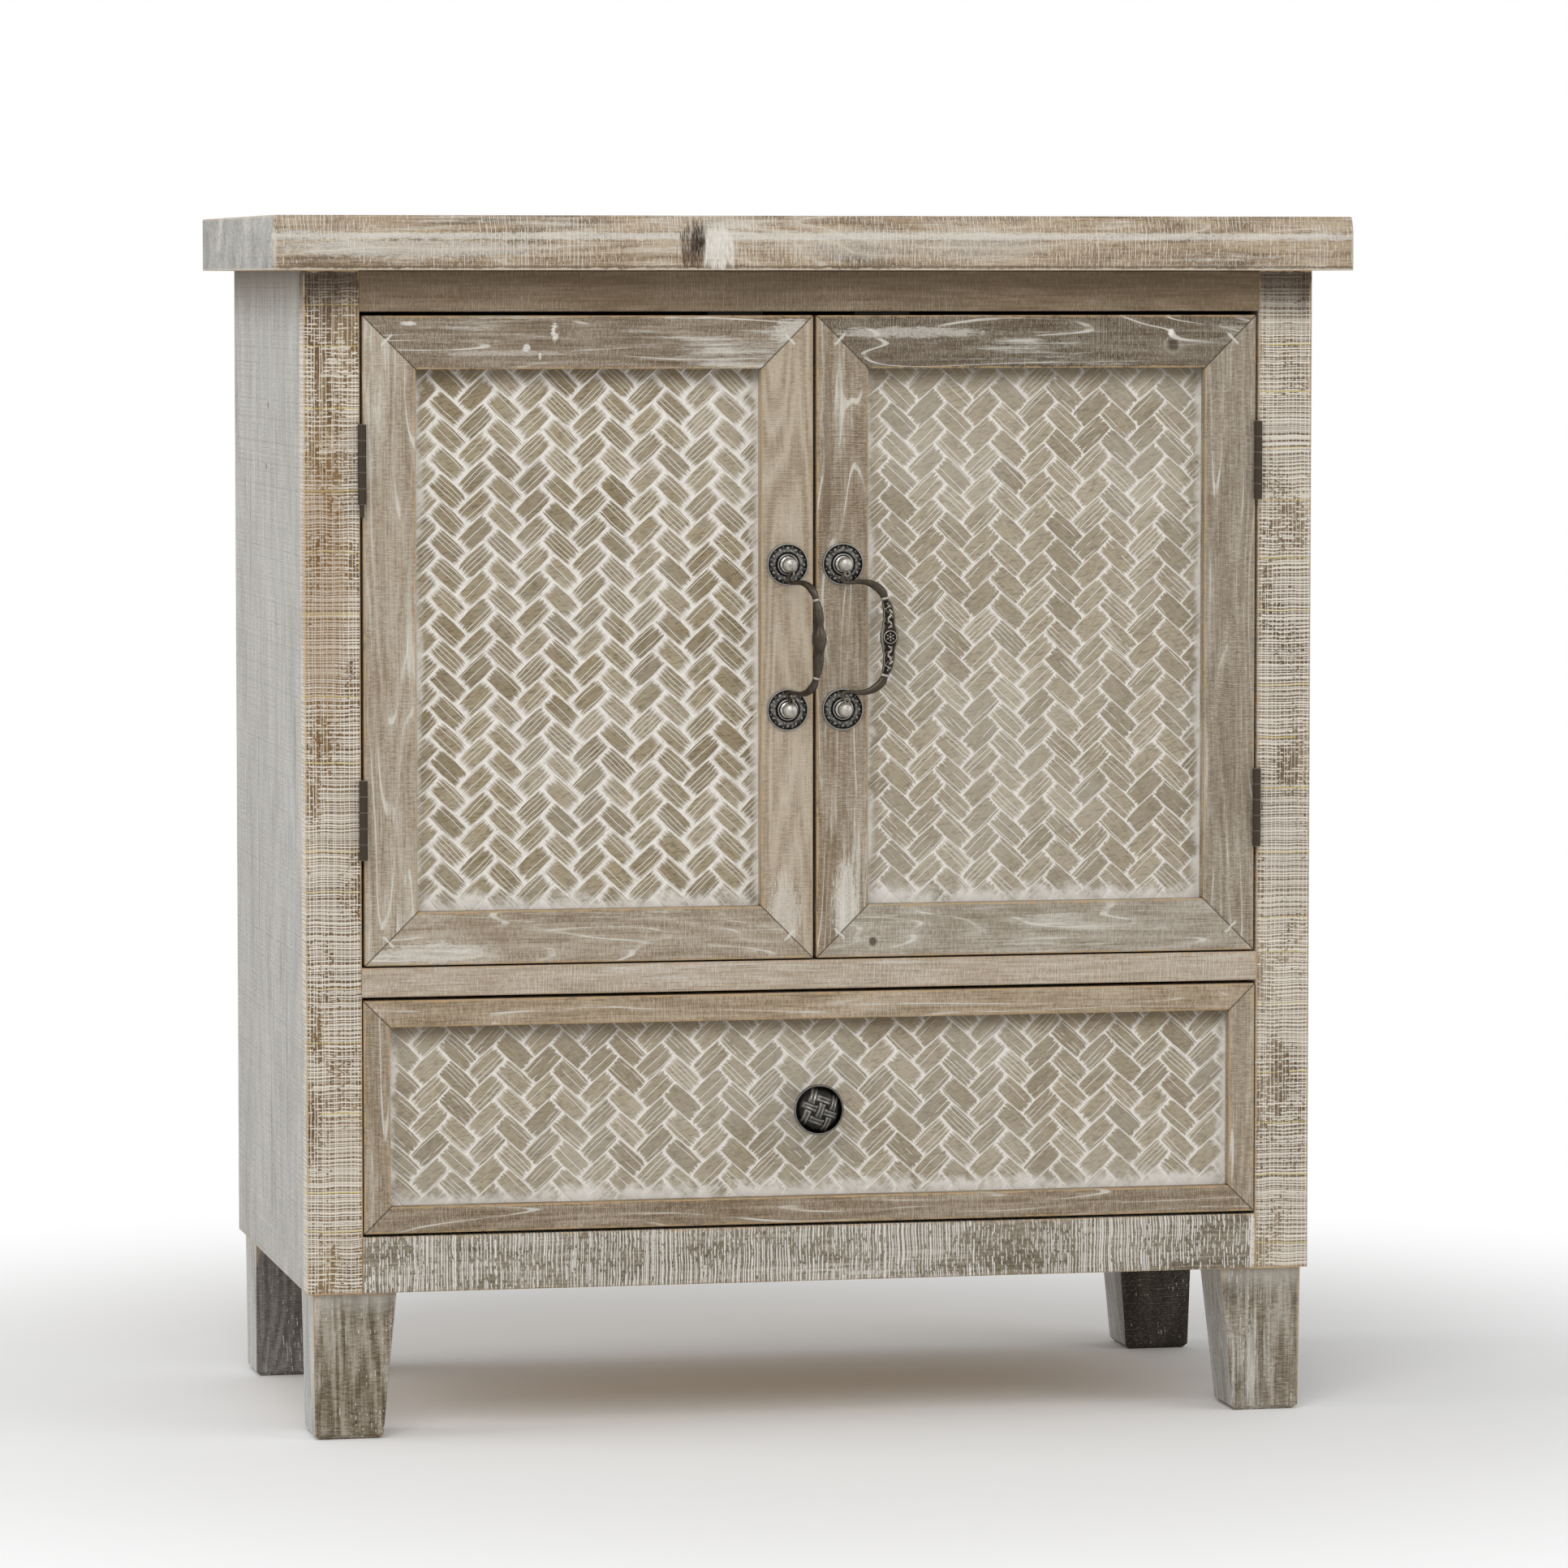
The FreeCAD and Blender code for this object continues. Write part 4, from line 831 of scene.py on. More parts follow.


# Each board: the way its grain runs, its dark, middle and pale tones, and its marks, which are white for thin
# paint, saws for paint in saw marks, streaks and lines for paint along the grain, arris for worn edges, shades
# for a tone that comes in between two heights, which is painted shadow where it darkens a board just under the
# top, and patches and knots at their places.
BOARDS = {
    "top_board": ("X", ("746450", "a08b72", "bcab93"), dict(
        white=0.5, blotches=1.2, saws=((2.4, 0.35, 0.45, 0.8, 6.0),), weave=0.5, lines=0.4, arris=0.0016,
        arris_share=0.7, arris_code="d6cbb8", side_tones=("93908a", "adaba7", "c4c2bf"), patches=patches_on(
            TOP_FRONT,
            (-0.26, 0.756, 0.1, 0.007, "dfdad1", 0.5),
            (0.0, 0.7640, 0.9, 0.0028, "e0dbd2", 0.62),
            (0.0, 0.7445, 0.9, 0.0012, "6d5c47", 0.75),
            (-0.083, 0.757, 0.012, 0.017, "4f3c2a", 0.8, "strokes"),
            (-0.079, 0.760, 0.006, 0.010, "2e241b", 0.8, "strokes"),
            (-0.066, 0.756, 0.013, 0.017, "e6e1d8", 0.85, "strokes"),
            (0.02, 0.758, 0.05, 0.012, "ddd8cf", 0.35, "strokes"),
            (0.105, 0.758, 0.05, 0.012, "d8d3ca", 0.35)))),
    "left_stile": ("Z", ("4e3820", "735a3b", "988261"), dict(
        STILE_CUT, white=0.0, streaks=0.85,
        saws=((2.8, 0.62, 0.74, 1.0, 5.0), (1.7, 0.4, 0.6, 0.95, 3.2), (43.0, 0.5, 0.9, 0.8, 20.0, "dcc878")),
        patches=patches_on(FRONT, (-0.318, 0.55, 0.02, 0.12, "9a7443", 0.4)))),
    "right_stile": ("Z", ("58462f", "7e6c55", "a4947d"), dict(
        STILE_CUT, white=0.1, streaks=0.9,
        saws=((2.7, 0.65, 0.8, 1.0, 5.0), (1.7, 0.4, 0.62, 0.95, 3.2), (37.0, 0.5, 0.9, 0.8, 20.0, "dcc878")))),
    # The top rail's tones are darkened partly by painted shadow of the top, and its band just under the top is
    # painted shadow.
    "top_rail": ("X", ("73624a", "8b7962", "a4937d"), dict(
        white=0.08, rings=0.15, saws=((2.2, 0.25, 0.35, 0.35, 8.0),), shades=((0.700, 0.738, "63523d", 0.6),))),
    "mid_rail": ("X", ("a0917b", "b8a996", "cec5b8"), dict(
        white=0.4, rings=0.15, blotches=0.5, saws=((2.3, 0.28, 0.4, 0.55, 8.0),), arris=0.001,
        arris_share=0.5)),
    "bottom_rail": ("X", ("5f5544", "857b6a", "a89f90"), dict(
        white=0.4, rings=0.15, saws=RAIL_SAWS, weave=0.5, arris=0.001, arris_share=0.5,
        patches=patches_on(FRONT, (0.2915, 0.112, 0.0022, 0.03, "e2ded6", 0.9)))),
    "left_side_panel": ("Z", SIDE_TONES, side_panel(
        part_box("left_side_panel")[0].x, ((0.02, 0.655, 0.003), (0.03, 0.615, 0.0025)))),
    "right_side_panel": ("Z", SIDE_TONES, side_panel(
        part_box("right_side_panel")[1].x, ((0.05, 0.30, 0.003),))),
    # This member's darker tones partly hold painted shadow of the top.
    "left_door_top_member": ("X", ("6b5b48", "857663", "a19484"), dict(
        DOOR_CUT, white=0.5, lines=1.0, patches=patches_on(
            FRONT,
            (-0.1683, 0.7035, 0.0026, 0.0072, "e6e2da", 0.85),
            (-0.1672, 0.7045, 0.0014, 0.0028, "7a5f45", 0.8),
            (-0.1867, 0.6935, 0.003, 0.003, "e6e2da", 0.8),
            (-0.1780, 0.6885, 0.0012, 0.003, "e6e2da", 0.7),
            (-0.262, 0.709, 0.006, 0.0015, "e6e2da", 0.8),
            (-0.012, 0.703, 0.02, 0.01, "e0dbd2", 0.6),
            (-0.20, 0.690, 0.05, 0.002, "ded9d0", 0.4)))),
    "left_door_hinge_member": ("Z", ("8c7b65", "ab9d8a", "bfb5a5"), dict(DOOR_CUT, white=0.45)),
    "left_door_meeting_member": ("Z", ("97866f", "b0a18c", "beb09c"), dict(
        white=0.22, arris=0.0013, arris_share=0.75, rings=0.4, lines=0.2,
        patches=patches_on(FRONT, (-0.02, 0.33, 0.012, 0.03, "e0dbd2", 0.5)))),
    "left_door_bottom_member": ("X", ("83735e", "a2937f", "bbb0a0"), dict(
        DOOR_CUT, white=0.42, patches=patches_on(FRONT, (-0.245, 0.31, 0.035, 0.009, "e0dbd2", 0.5)))),
    # This member's darker tones partly hold painted shadow of the top.
    "right_door_top_member": ("X", ("554838", "6c604f", "867b6c"), dict(
        DOOR_CUT, white=0.42, knots=(((0.236, FRONT, 0.695), 0.0042),), patches=patches_on(
            FRONT,
            (0.2345, 0.7025, 0.0022, 0.003, "efeae2", 0.9),
            (0.06, 0.703, 0.06, 0.004, "dcd7ce", 0.5)))),
    "right_door_hinge_member": ("Z", ("7c6d5a", "968a78", "b0a697"), dict(DOOR_CUT, white=0.42)),
    "right_door_meeting_member": ("Z", ("7a6952", "968672", "b0a491"), dict(
        DOOR_CUT, white=0.36, patches=patches_on(
            FRONT,
            (0.0085, 0.63, 0.0045, 0.08, "6d5943", 0.5),
            (0.02, 0.335, 0.009, 0.035, "e2ddd4", 0.6)))),
    "right_door_bottom_member": ("X", ("8b7f6d", "a39989", "bab2a6"), dict(
        DOOR_CUT, white=0.4, knots=(((0.0381, FRONT, 0.3125), 0.0034),))),
    "drawer_front_top_member": ("X", ("867359", "a5937b", "bfae98"), dict(DOOR_CUT, white=0.22)),
    "drawer_front_bottom_member": ("X", ("75634c", "8e7e69", "aa9c88"), dict(DOOR_CUT, white=0.25)),
    "drawer_front_left_member": ("Z", ("84735c", "9f907b", "b8ab98"), dict(DOOR_CUT, white=0.3)),
    "drawer_front_right_member": ("Z", ("84735c", "9c8e7a", "b8ab98"), dict(DOOR_CUT, white=0.35)),
    "front_left_leg": ("Z", ("554939", "7e7360", "a69d8f"), dict(LEG_CUT, white=0.48)),
    "front_right_leg": ("Z", ("5f5444", "877c6b", "aea69a"), dict(LEG_CUT, white=0.5)),
    "back_left_leg": ("Z", ("625d56", "787470", "918e89"), dict(LEG_CUT, white=0.45)),
    # This leg's near-black tones are painted shade, as it stands in shadow at the back.
    "back_right_leg": ("Z", ("332d25", "3d372e", "4b443b"), dict(LEG_CUT, white=0.12)),
}

# Boards of unpainted pine inside, and the thin plywood of the back and the drawer's bottom.
PINE = ("b0916a", "cbb08a", "dcc8a8")
PLY = ("b8a282", "c7b292", "d3c2a7")
INSIDE = {
    "top_cleats": "Y", "bottom_panel": "X", "bay_floor": "X", "shelf": "X", "shelf_pegs": "X",
    "corner_blocks": "X", "drawer_runners": "Y", "drawer_box_front": "X", "drawer_box_back": "X",
    "drawer_box_left_side": "Y", "drawer_box_right_side": "Y",
}


def dress(finish, *nodes):
    """Gives nodes of the frame their finish."""
    for node in nodes:
        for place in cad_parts[node].material_slots:
            place.material = finish


class CABINET_OT_boards(bpy.types.Operator):
    """Paints, wears and whitewashes every board, each with its own grain"""
    bl_idname = "cabinet.boards"
    bl_label = "Finish the Boards"

    def execute(self, context):
        joints = mitres()
        for seed, (node, (grain, tones, marks)) in enumerate(BOARDS.items(), 1):
            dress(timber(node, grain, tones, context, seed, corners=joints.get(node, ()), **marks), node)
        for seed, (node, grain) in enumerate(INSIDE.items(), 40):
            dress(timber(node, grain, PINE, context, seed, white=0.0, rings=0.5, saws=(FINE_SAW,)), node)
        for seed, node in enumerate(("back_panel", "drawer_box_bottom"), 60):
            dress(timber(node, "X", PLY, context, seed, white=0.0, rings=0.35, blotches=0.5), node)
        return {"FINISHED"}


class CABINET_OT_hardware(bpy.types.Operator):
    """Finishes the hinges, posts, screws and catches"""
    bl_idname = "cabinet.hardware"
    bl_label = "Finish the Hardware"

    def execute(self, context):
        dress(hinge_bronze(), "left_hinge_frame_leaves", "right_hinge_frame_leaves", "left_hinge_door_leaves",
              "right_hinge_door_leaves", "hinge_pins")
        dress(metal("zinc_steel", "6d6d6b", "8f8f8d", "b8b8b6", 0.9, 0.38), "left_handle_nuts",
              "right_handle_nuts", "knob_screw", "leg_bolts", "left_door_strike", "right_door_strike")
        dress(metal("post_pewter", "2f2c29", "6f6b65", "b9b5ae", 0.85, 0.34), "left_handle_posts",
              "right_handle_posts")
        dress(catch_plastic(), "door_catches")
        return {"FINISHED"}


# ---------------------------------------------------------------- the carving

BRICK_SCATTER = 0.00022  # from the foremost brick of a panel back to the deepest
END_GAP = 0.6  # the gap at a brick's ends, as a share of the gap along its edges
END_SINK, EDGE_SINK = 0.4, 0.25  # how far its face falls there, as shares of a groove's depth
BRICK_BODY = 0.75  # its thickness behind its face, as a share of a groove's depth
FOOT_SPREAD = (1.03, 1, 1.025)  # how much larger its foot is than its face
# Each carving: its piece, its frame, the body it rides on, a brick's lowest corner, its seed, how white it is,
# and the gap round its bricks as a share of their size.
PANELS = (
    ("left_panel_carving", "left_door", "left_door", (0.03265, 0.00175), 3, 1.4, 0.032),
    ("right_panel_carving", "right_door", "right_door", (0.0336, 0.010), 5, 0.7, 0.015),
    ("drawer_panel_carving", "drawer_front", "drawer", (0.00156, 0.01336), 7, 0.8, 0.021),
)


def along_edge(points, share):
    """A place along an edge of two equal halves."""
    half = min(int(share * 2), 1)
    return points[half].lerp(points[half + 1], share * 2 - half)


def brick(sizes, gap):
    """One carved brick, leaning right, with its lowest corner at the origin and a gap along its edges."""
    across, up, bend = sizes.pitch_across, sizes.pitch_up, sizes.brick_bend
    short = across / 2 - bend
    edge_low = [Vector((0, 0)), Vector((bend, up / 2)), Vector((across / 2, up))]
    edge_high = [Vector((-short, up / 2)), Vector((0, up)), Vector((bend, 1.5 * up))]
    set_aside()
    bpy.ops.mesh.primitive_grid_add(x_subdivisions=8, y_subdivisions=4, size=1, location=(0.5, 0.5, 0))
    piece = settle("brick")
    for point in piece.data.vertices:
        along = END_GAP * gap + (1 - 2 * END_GAP * gap) * point.co.x
        over = gap + (1 - 2 * gap) * point.co.y
        flat = along_edge(edge_low, along) * (1 - over) + along_edge(edge_high, along) * over
        from_middle, from_axis = abs(2 * point.co.x - 1), abs(2 * point.co.y - 1)
        sink = END_SINK * from_middle ** 6 + EDGE_SINK * from_axis ** 6
        point.co = Vector((flat.x, sizes.groove_depth * sink, flat.y))
    middle = Vector((across / 4 - short / 2, 0, 0.75 * up))
    return thickened(piece, sizes.groove_depth * BRICK_BODY, FOOT_SPREAD, middle)


def herringbone(name, node, start, sizes, seed, gap):
    """A panel of carved bricks and its board, cut off at the panel's own edges."""
    low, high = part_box(node)
    across, up = sizes.pitch_across, sizes.pitch_up
    columns = math.ceil((high.x - low.x) / across) + 3
    rows = math.ceil((high.z - low.z) / up) + 4
    first_x = start[0] + across * (math.floor((low.x - start[0]) / across) - 1)
    first_z = start[1] + up * (math.floor((low.z - start[1]) / up) - 2)
    chance = random.Random(seed)
    halves = []
    for lean in (1, -1):
        half = brick(sizes, gap)
        count = len(half.data.vertices)
        if lean < 0:
            half.data.transform(Matrix.Scale(-1, 4, Vector((1, 0, 0))))
            half.data.transform(Matrix.Translation((sizes.brick_bend - across / 2, 0, up / 2)))
            facing_out(half)
        half.data.transform(Matrix.Translation((first_x, low.y, first_z)))
        for repeats, step in ((columns, (across, 0, 0)), (rows, (0, 0, up))):
            finish_with(half, "ARRAY", count=repeats, constant_offset_displace=step, use_relative_offset=False,
                        use_constant_offset=True)
        worth = []
        for _ in range(len(half.data.vertices) // count):
            worth.extend([chance.random()] * count)
        half.data.attributes.new("chance", "FLOAT", "POINT").data.foreach_set("value", worth)
        for point, share in zip(half.data.vertices, worth):
            point.co.y += BRICK_SCATTER * share
        halves.append(half)
    carving = gathered(halves, name)
    with at_the_bench(carving):
        for corner, normal in ((low, (-1, 0, 0)), (high, (1, 0, 0)), (low, (0, 0, -1)), (high, (0, 0, 1))):
            bpy.ops.mesh.select_all(action="SELECT")
            bpy.ops.mesh.bisect(plane_co=corner, plane_no=normal, clear_outer=True, use_fill=True)
    return carving, box_piece(name + "_board", Vector((low.x, low.y + sizes.groove_depth, low.z)), high)


class CABINET_OT_carved_panels(bpy.types.Operator):
    """Carves the herringbone panels of the doors and the drawer"""
    bl_idname = "cabinet.carved_panels"
    bl_label = "Carve the Panels"

    def execute(self, context):
        ground = carved_ground(context)
        for name, whole_frame, body, start, seed, whites, gap in PANELS:
            node = whole_frame + "_panel"
            carving, board = herringbone(name, node, start, context.scene.cabinet_sizes, seed, gap)
            carving.data.materials.append(carved_wood(name, frame_opening(whole_frame), whites, context))
            board.data.materials.append(ground)
            board.data.materials.append(timber(node, "Z", PINE, context, seed + 70, white=0.2, rings=0.5))
            for face in board.data.polygons:
                face.material_index = 0 if face.normal.y < -0.5 else 1
            whole = gathered([carving, board], name)
            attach(whole, body)
            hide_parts(node)
        return {"FINISHED"}


# ---------------------------------------------------------------- the top

TOP_CUTS = 84  # along the top's long edges, so that the bevel can wander
LONG_EDGE = 0.5  # only these edges are longer than this across
SAME_PLACE = 0.0005  # points that lie nearer than this are on one edge
EDGE_SWAY, EDGE_SET_BACK = 0.4, 0.6  # the bevel's upper edge wanders less than its foot, and lies further back
TOP_ROUND = 0.0006  # how far the top's edges are rounded off


class CABINET_OT_top_board(bpy.types.Operator):
    """Planes the thick top, with the hand-worn bevel along its front"""
    bl_idname = "cabinet.top_board"
    bl_label = "Plane the Top"

    def execute(self, context):
        sizes = context.scene.cabinet_sizes
        low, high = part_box("top_board")
        bevel_foot = high.z - sizes.bevel_height
        board = box_piece("top_board_worn", low, high)
        with at_the_bench(board):
            slope = Vector((0, -sizes.bevel_height, sizes.bevel_depth)).normalized()
            bpy.ops.mesh.bisect(
                plane_co=(0, low.y, bevel_foot), plane_no=slope, clear_outer=True, use_fill=True)
            bpy.ops.mesh.select_mode(type="EDGE")
            bpy.ops.mesh.select_all(action="DESELECT")
            shape = bmesh.from_edit_mesh(board.data)
            for edge in shape.edges:
                edge.select = abs(edge.verts[0].co.x - edge.verts[1].co.x) > LONG_EDGE
            bmesh.update_edit_mesh(board.data)
            bpy.ops.mesh.subdivide(number_cuts=TOP_CUTS)
        chance = random.Random(11)
        waves = [(chance.uniform(14, 90), chance.uniform(0, 6.3), chance.uniform(0.2, 0.5)) for _ in range(6)]
        for point in board.data.vertices:
            sway = sum(size * math.sin(rate * point.co.x + shift) for rate, shift, size in waves) / 2
            if point.co.y < low.y + SAME_PLACE and abs(point.co.z - bevel_foot) < SAME_PLACE:
                point.co.z += sway * sizes.bevel_sway
            elif point.co.z > high.z - SAME_PLACE and point.co.y < 0:
                point.co.y += (EDGE_SET_BACK + sway) * sizes.bevel_sway * EDGE_SWAY
        facing_out(board)
        finish_with(board, "BEVEL", width=TOP_ROUND, segments=2, limit_method="ANGLE",
                    angle_limit=math.radians(20))
        smoothed(board, 35)
        board.data.materials.clear()
        board.data.materials.append(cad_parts["top_board"].material_slots[0].material)
        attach(board, "carcass")
        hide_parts("top_board")
        return {"FINISHED"}


# ---------------------------------------------------------------- the handles

HANDLE_Z = (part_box("left_bail")[0].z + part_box("left_bail")[1].z) / 2
POST_PIVOT_Y = FRONT - 9.6 * MM
ORIGIN = Vector((0, 0, 0))
ROSETTE_RINGS = (
    (0.0, 13.5), (1.3, 13.5), (1.9, 13.2), (2.0, 12.8), (1.6, 12.4), (1.1, 12.1), (1.2, 11.4), (1.5, 10.2),
    (1.8, 9.0), (1.8, 8.0), (1.4, 7.3), (1.6, 6.9), (2.5, 6.6), (2.7, 6.1), (2.3, 5.7), (2.5, 5.3), (3.1, 4.8),
    (3.2, 3.2))
# Heights from a grip's middle, in millimetres.
GRIP_END = 24.6
GRIP_RELIEF_END = 24
GRIP_SHAPED_TO = 30
WAISTS = ((8.8, 3.4, 0.34), (16.5, 4.5, 0.16), (25.0, 4.0, 0.36))  # height, reach and share drawn in
GRIP_LEAVES = ((6.6, 48, 0.8), (9.6, -50, 1.0), (13.0, 46, 1.0), (16.4, -42, 0.95), (19.6, 40, 0.75))
LEAF_EYES = ((1.7, 1.5, 0.7), (-0.4, -1.9, 0.5), (0.4, 2.2, 0.4))  # by each leaf: up, across and radius
FLOWER_RINGS = ((-0.3, 4.3), (0.5, 4.3), (0.8, 3.9), (0.5, 3.5), (0.2, 3.3))
CURL_ACROSS, CURL_OUT, CURL_UP = 0.8, 0.9, 40.7  # from a post, from the pivots' line and from the middle
CURL_RADIUS, CURL_ROUND = 1.6, 0.8
COLLAR_ROUND = 0.12  # how thick a collar is, as a share of the rod
COLLAR_LEAN = 14  # in degrees
# How squarely a point of the grip faces outward, on its hollow ground and on the rim beside it.
GROUND_FACING, RIM_FACING = 0.86, 0.6
GRIP_X = 0.035  # the right bail's rod lies further right than this all along its grip


def marked(piece, relief):
    """Notes how far a cast piece stands proud, from -1 in a hollow to 1 on relief, for its finish."""
    given = piece.data.attributes.new("relief", "FLOAT", "POINT")
    given.data.foreach_set("value", [relief] * len(piece.data.vertices))
    return piece


def mark_where(piece, centre, belongs, relief):
    """Notes another relief on the points whose distance from a centre, in millimetres, belongs to it."""
    given = piece.data.attributes["relief"]
    for place, point in enumerate(piece.data.vertices):
        if belongs(math.hypot(point.co.x - centre.x, point.co.z - centre.z) / MM):
            given.data[place].value = relief


def bead(name, place, radius, height):
    """A small cast bead that stands on a face."""
    shares = ((0.45, 0.9), (0.85, 0.55), (1, 0.15))
    return turned(name, place, [(-0.4, radius)] + [(height * out, radius * wide) for out, wide in shares], 8)


def petal_ring(name, centre, lift, reach, length, width, count, start=0, tilt=0, relief=0.55):
    """Small leaves set round a centre, each a copy of the first."""
    leaf = marked(bead(name, ORIGIN, 1.0, 0.9), relief)
    for step in (Matrix.Diagonal((width, 1.0, length, 1.0)), turned_by(tilt, "Y"),
                 Matrix.Translation((centre.x, centre.y - lift * MM, centre.z + reach * MM)),
                 turned_round(centre, start)):
        leaf.data.transform(step)
    return [leaf] + [again(leaf, turned_round(centre, 360.0 * step / count)) for step in range(1, count)]


class CABINET_OT_rosettes(bpy.types.Operator):
    """Casts the four rosettes with their ring of leaves and beads"""
    bl_idname = "cabinet.rosettes"
    bl_label = "Cast the Rosettes"

    def execute(self, context):
        count = context.scene.cabinet_sizes.rosette_leaves
        between = 180.0 / count
        finish = metal("rosette_pewter", "12100e", "35322e", "9a9792", 0.8, 0.4)
        for side in ("left", "right"):
            node = side + "_handle_rosettes"
            low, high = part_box(node)
            middle, half = (low.x + high.x) / 2, (high.x - low.x) / 2
            pieces = []
            for centre in (Vector((middle, high.y, low.z + half)), Vector((middle, high.y, high.z - half))):
                pieces.append(marked(turned("disc", centre, ROSETTE_RINGS, 40), 0.0))
                pieces += petal_ring("leaf", centre, 1.4, 10.4, 1.35, 0.75, count, 0, 32)
                pieces += petal_ring("leaf", centre, 1.5, 8.7, 1.05, 0.6, count, between, -38)
                pieces += petal_ring("seed", centre, 1.4, 11.5, 0.5, 0.5, count, between)
            whole = smoothed(gathered(pieces, side + "_rosettes_cast"), 40)
            whole.data.materials.append(finish)
            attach(whole, side + "_door")
            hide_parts(node)
        return {"FINISHED"}


def waist(height):
    """How much the grip is drawn in at a height over its middle, in millimetres."""
    return sum(share * math.exp(-((abs(height) - place) / reach) ** 2) for place, reach, share in WAISTS)


def rod_near(bail, height, reach):
    """The points of the right bail's grip near a height, in millimetres."""
    level = HANDLE_Z + height * MM
    return [point.co for point in bail.data.vertices
            if abs(point.co.z - level) < reach * MM and point.co.x > GRIP_X]


def grip_face(bail, height, proud):
    """A place on the grip's outer face."""
    near = rod_near(bail, height, 3.0)
    middle = sum(near, Vector()) / len(near)
    return Vector((middle.x, middle.y - proud * (1 - waist(height)) * MM, HANDLE_Z + height * MM))


def arm_curl(way):
    """The small curl by a post, where the bail's arm begins."""
    post = box_middle("right_handle_posts")
    place = Vector((post.x + CURL_ACROSS * MM, POST_PIVOT_Y - CURL_OUT * MM, HANDLE_Z + CURL_UP * MM * way))
    set_aside()
    bpy.ops.mesh.primitive_torus_add(
        major_segments=20, minor_segments=8, major_radius=CURL_RADIUS * MM, minor_radius=CURL_ROUND * MM,
        location=place, rotation=(math.radians(90), 0, 0))
    return marked(settle("arm_curl"), 0.35)


def collar(bail, height):
    """A thin raised band round the rod where the grip ends."""
    near = rod_near(bail, height, 1.6)
    low = Vector([min(co[axis] for co in near) for axis in range(3)])
    high = Vector([max(co[axis] for co in near) for axis in range(3)])
    drawn_in = 1 - waist(height)
    wide, thick = (high.x - low.x) / 2 * drawn_in + 0.0003, (high.y - low.y) / 2 * drawn_in + 0.0004
    set_aside()
    bpy.ops.mesh.primitive_torus_add(
        major_segments=20, minor_segments=8, major_radius=1.0, minor_radius=COLLAR_ROUND,
        location=((low.x + high.x) / 2, (low.y + high.y) / 2, HANDLE_Z + height * MM))
    band = bpy.context.object
    band.scale = (wide / (1 + COLLAR_ROUND), thick / (1 + COLLAR_ROUND), 0.006)
    band.rotation_euler = (0, math.radians(math.copysign(COLLAR_LEAN, -height)), 0)
    return marked(settle("grip_collar"), 0.8)


def grip_ornament(bail):
    """The relief on the grip's outer face: a flower in a ring, leaves, and a collar at each end."""
    centre = grip_face(bail, 0, 3.1)
    ring = marked(turned("flower_ring", centre, FLOWER_RINGS, 24), 0.8)
    mark_where(ring, centre, lambda reach: reach < 3.6, -0.9)
    pieces = [ring] + petal_ring("flower_leaf", centre, 0.3, 2.0, 1.0, 0.7, 6)
    heart = Vector((centre.x, centre.y - 0.4 * MM, centre.z))
    pieces.append(marked(bead("flower_heart", heart, 0.9, 0.7), 1.0))
    for way in (1, -1):
        for height, tilt, size in GRIP_LEAVES:
            leaf = bead("scroll_leaf", ORIGIN, 1.15 * size * (1 - 0.6 * waist(height)), 0.9)
            for step in (Matrix.Diagonal((0.85, 1.0, 2.1, 1.0)), turned_by(tilt * way, "Y"),
                         Matrix.Translation(grip_face(bail, height * way, 2.9))):
                leaf.data.transform(step)
            pieces.append(marked(leaf, 1.0))
            for up, across, radius in LEAF_EYES:
                eye = grip_face(bail, (height + up) * way, 2.8)
                eye.x += math.copysign(across * size * (1 - waist(height)) * MM, tilt)
                pieces.append(marked(bead("scroll_eye", eye, radius, 0.8), 1.0))
        pieces.append(collar(bail, GRIP_END * way))
        pieces.append(arm_curl(way))
    return pieces


def shape_grip(bail):
    """Draws the grip in on both sides of its middle, and towards its ends."""
    rows = {}
    for point in bail.data.vertices:
        if abs(point.co.z - HANDLE_Z) < GRIP_SHAPED_TO * MM:
            rows.setdefault(round((point.co.z - HANDLE_Z) / (2 * MM)), []).append(point)
    for points in rows.values():
        middle = sum((point.co for point in points), Vector()) / len(points)
        for point in points:
            drawn_in = waist((point.co.z - HANDLE_Z) / MM)
            point.co.x += (middle.x - point.co.x) * drawn_in
            point.co.y += (middle.y - point.co.y) * drawn_in


def mark_grip(bail, outward):
    """Notes the hollow ground along the grip's outer face, and the rim on both sides of it."""
    given = bail.data.attributes.new("relief", "FLOAT", "POINT")
    for place, point in enumerate(bail.data.vertices):
        facing = point.normal.dot(outward) if abs(point.co.z - HANDLE_Z) < GRIP_RELIEF_END * MM else 0.0
        given.data[place].value = -0.85 if facing > GROUND_FACING else 0.55 if facing > RIM_FACING else 0.0


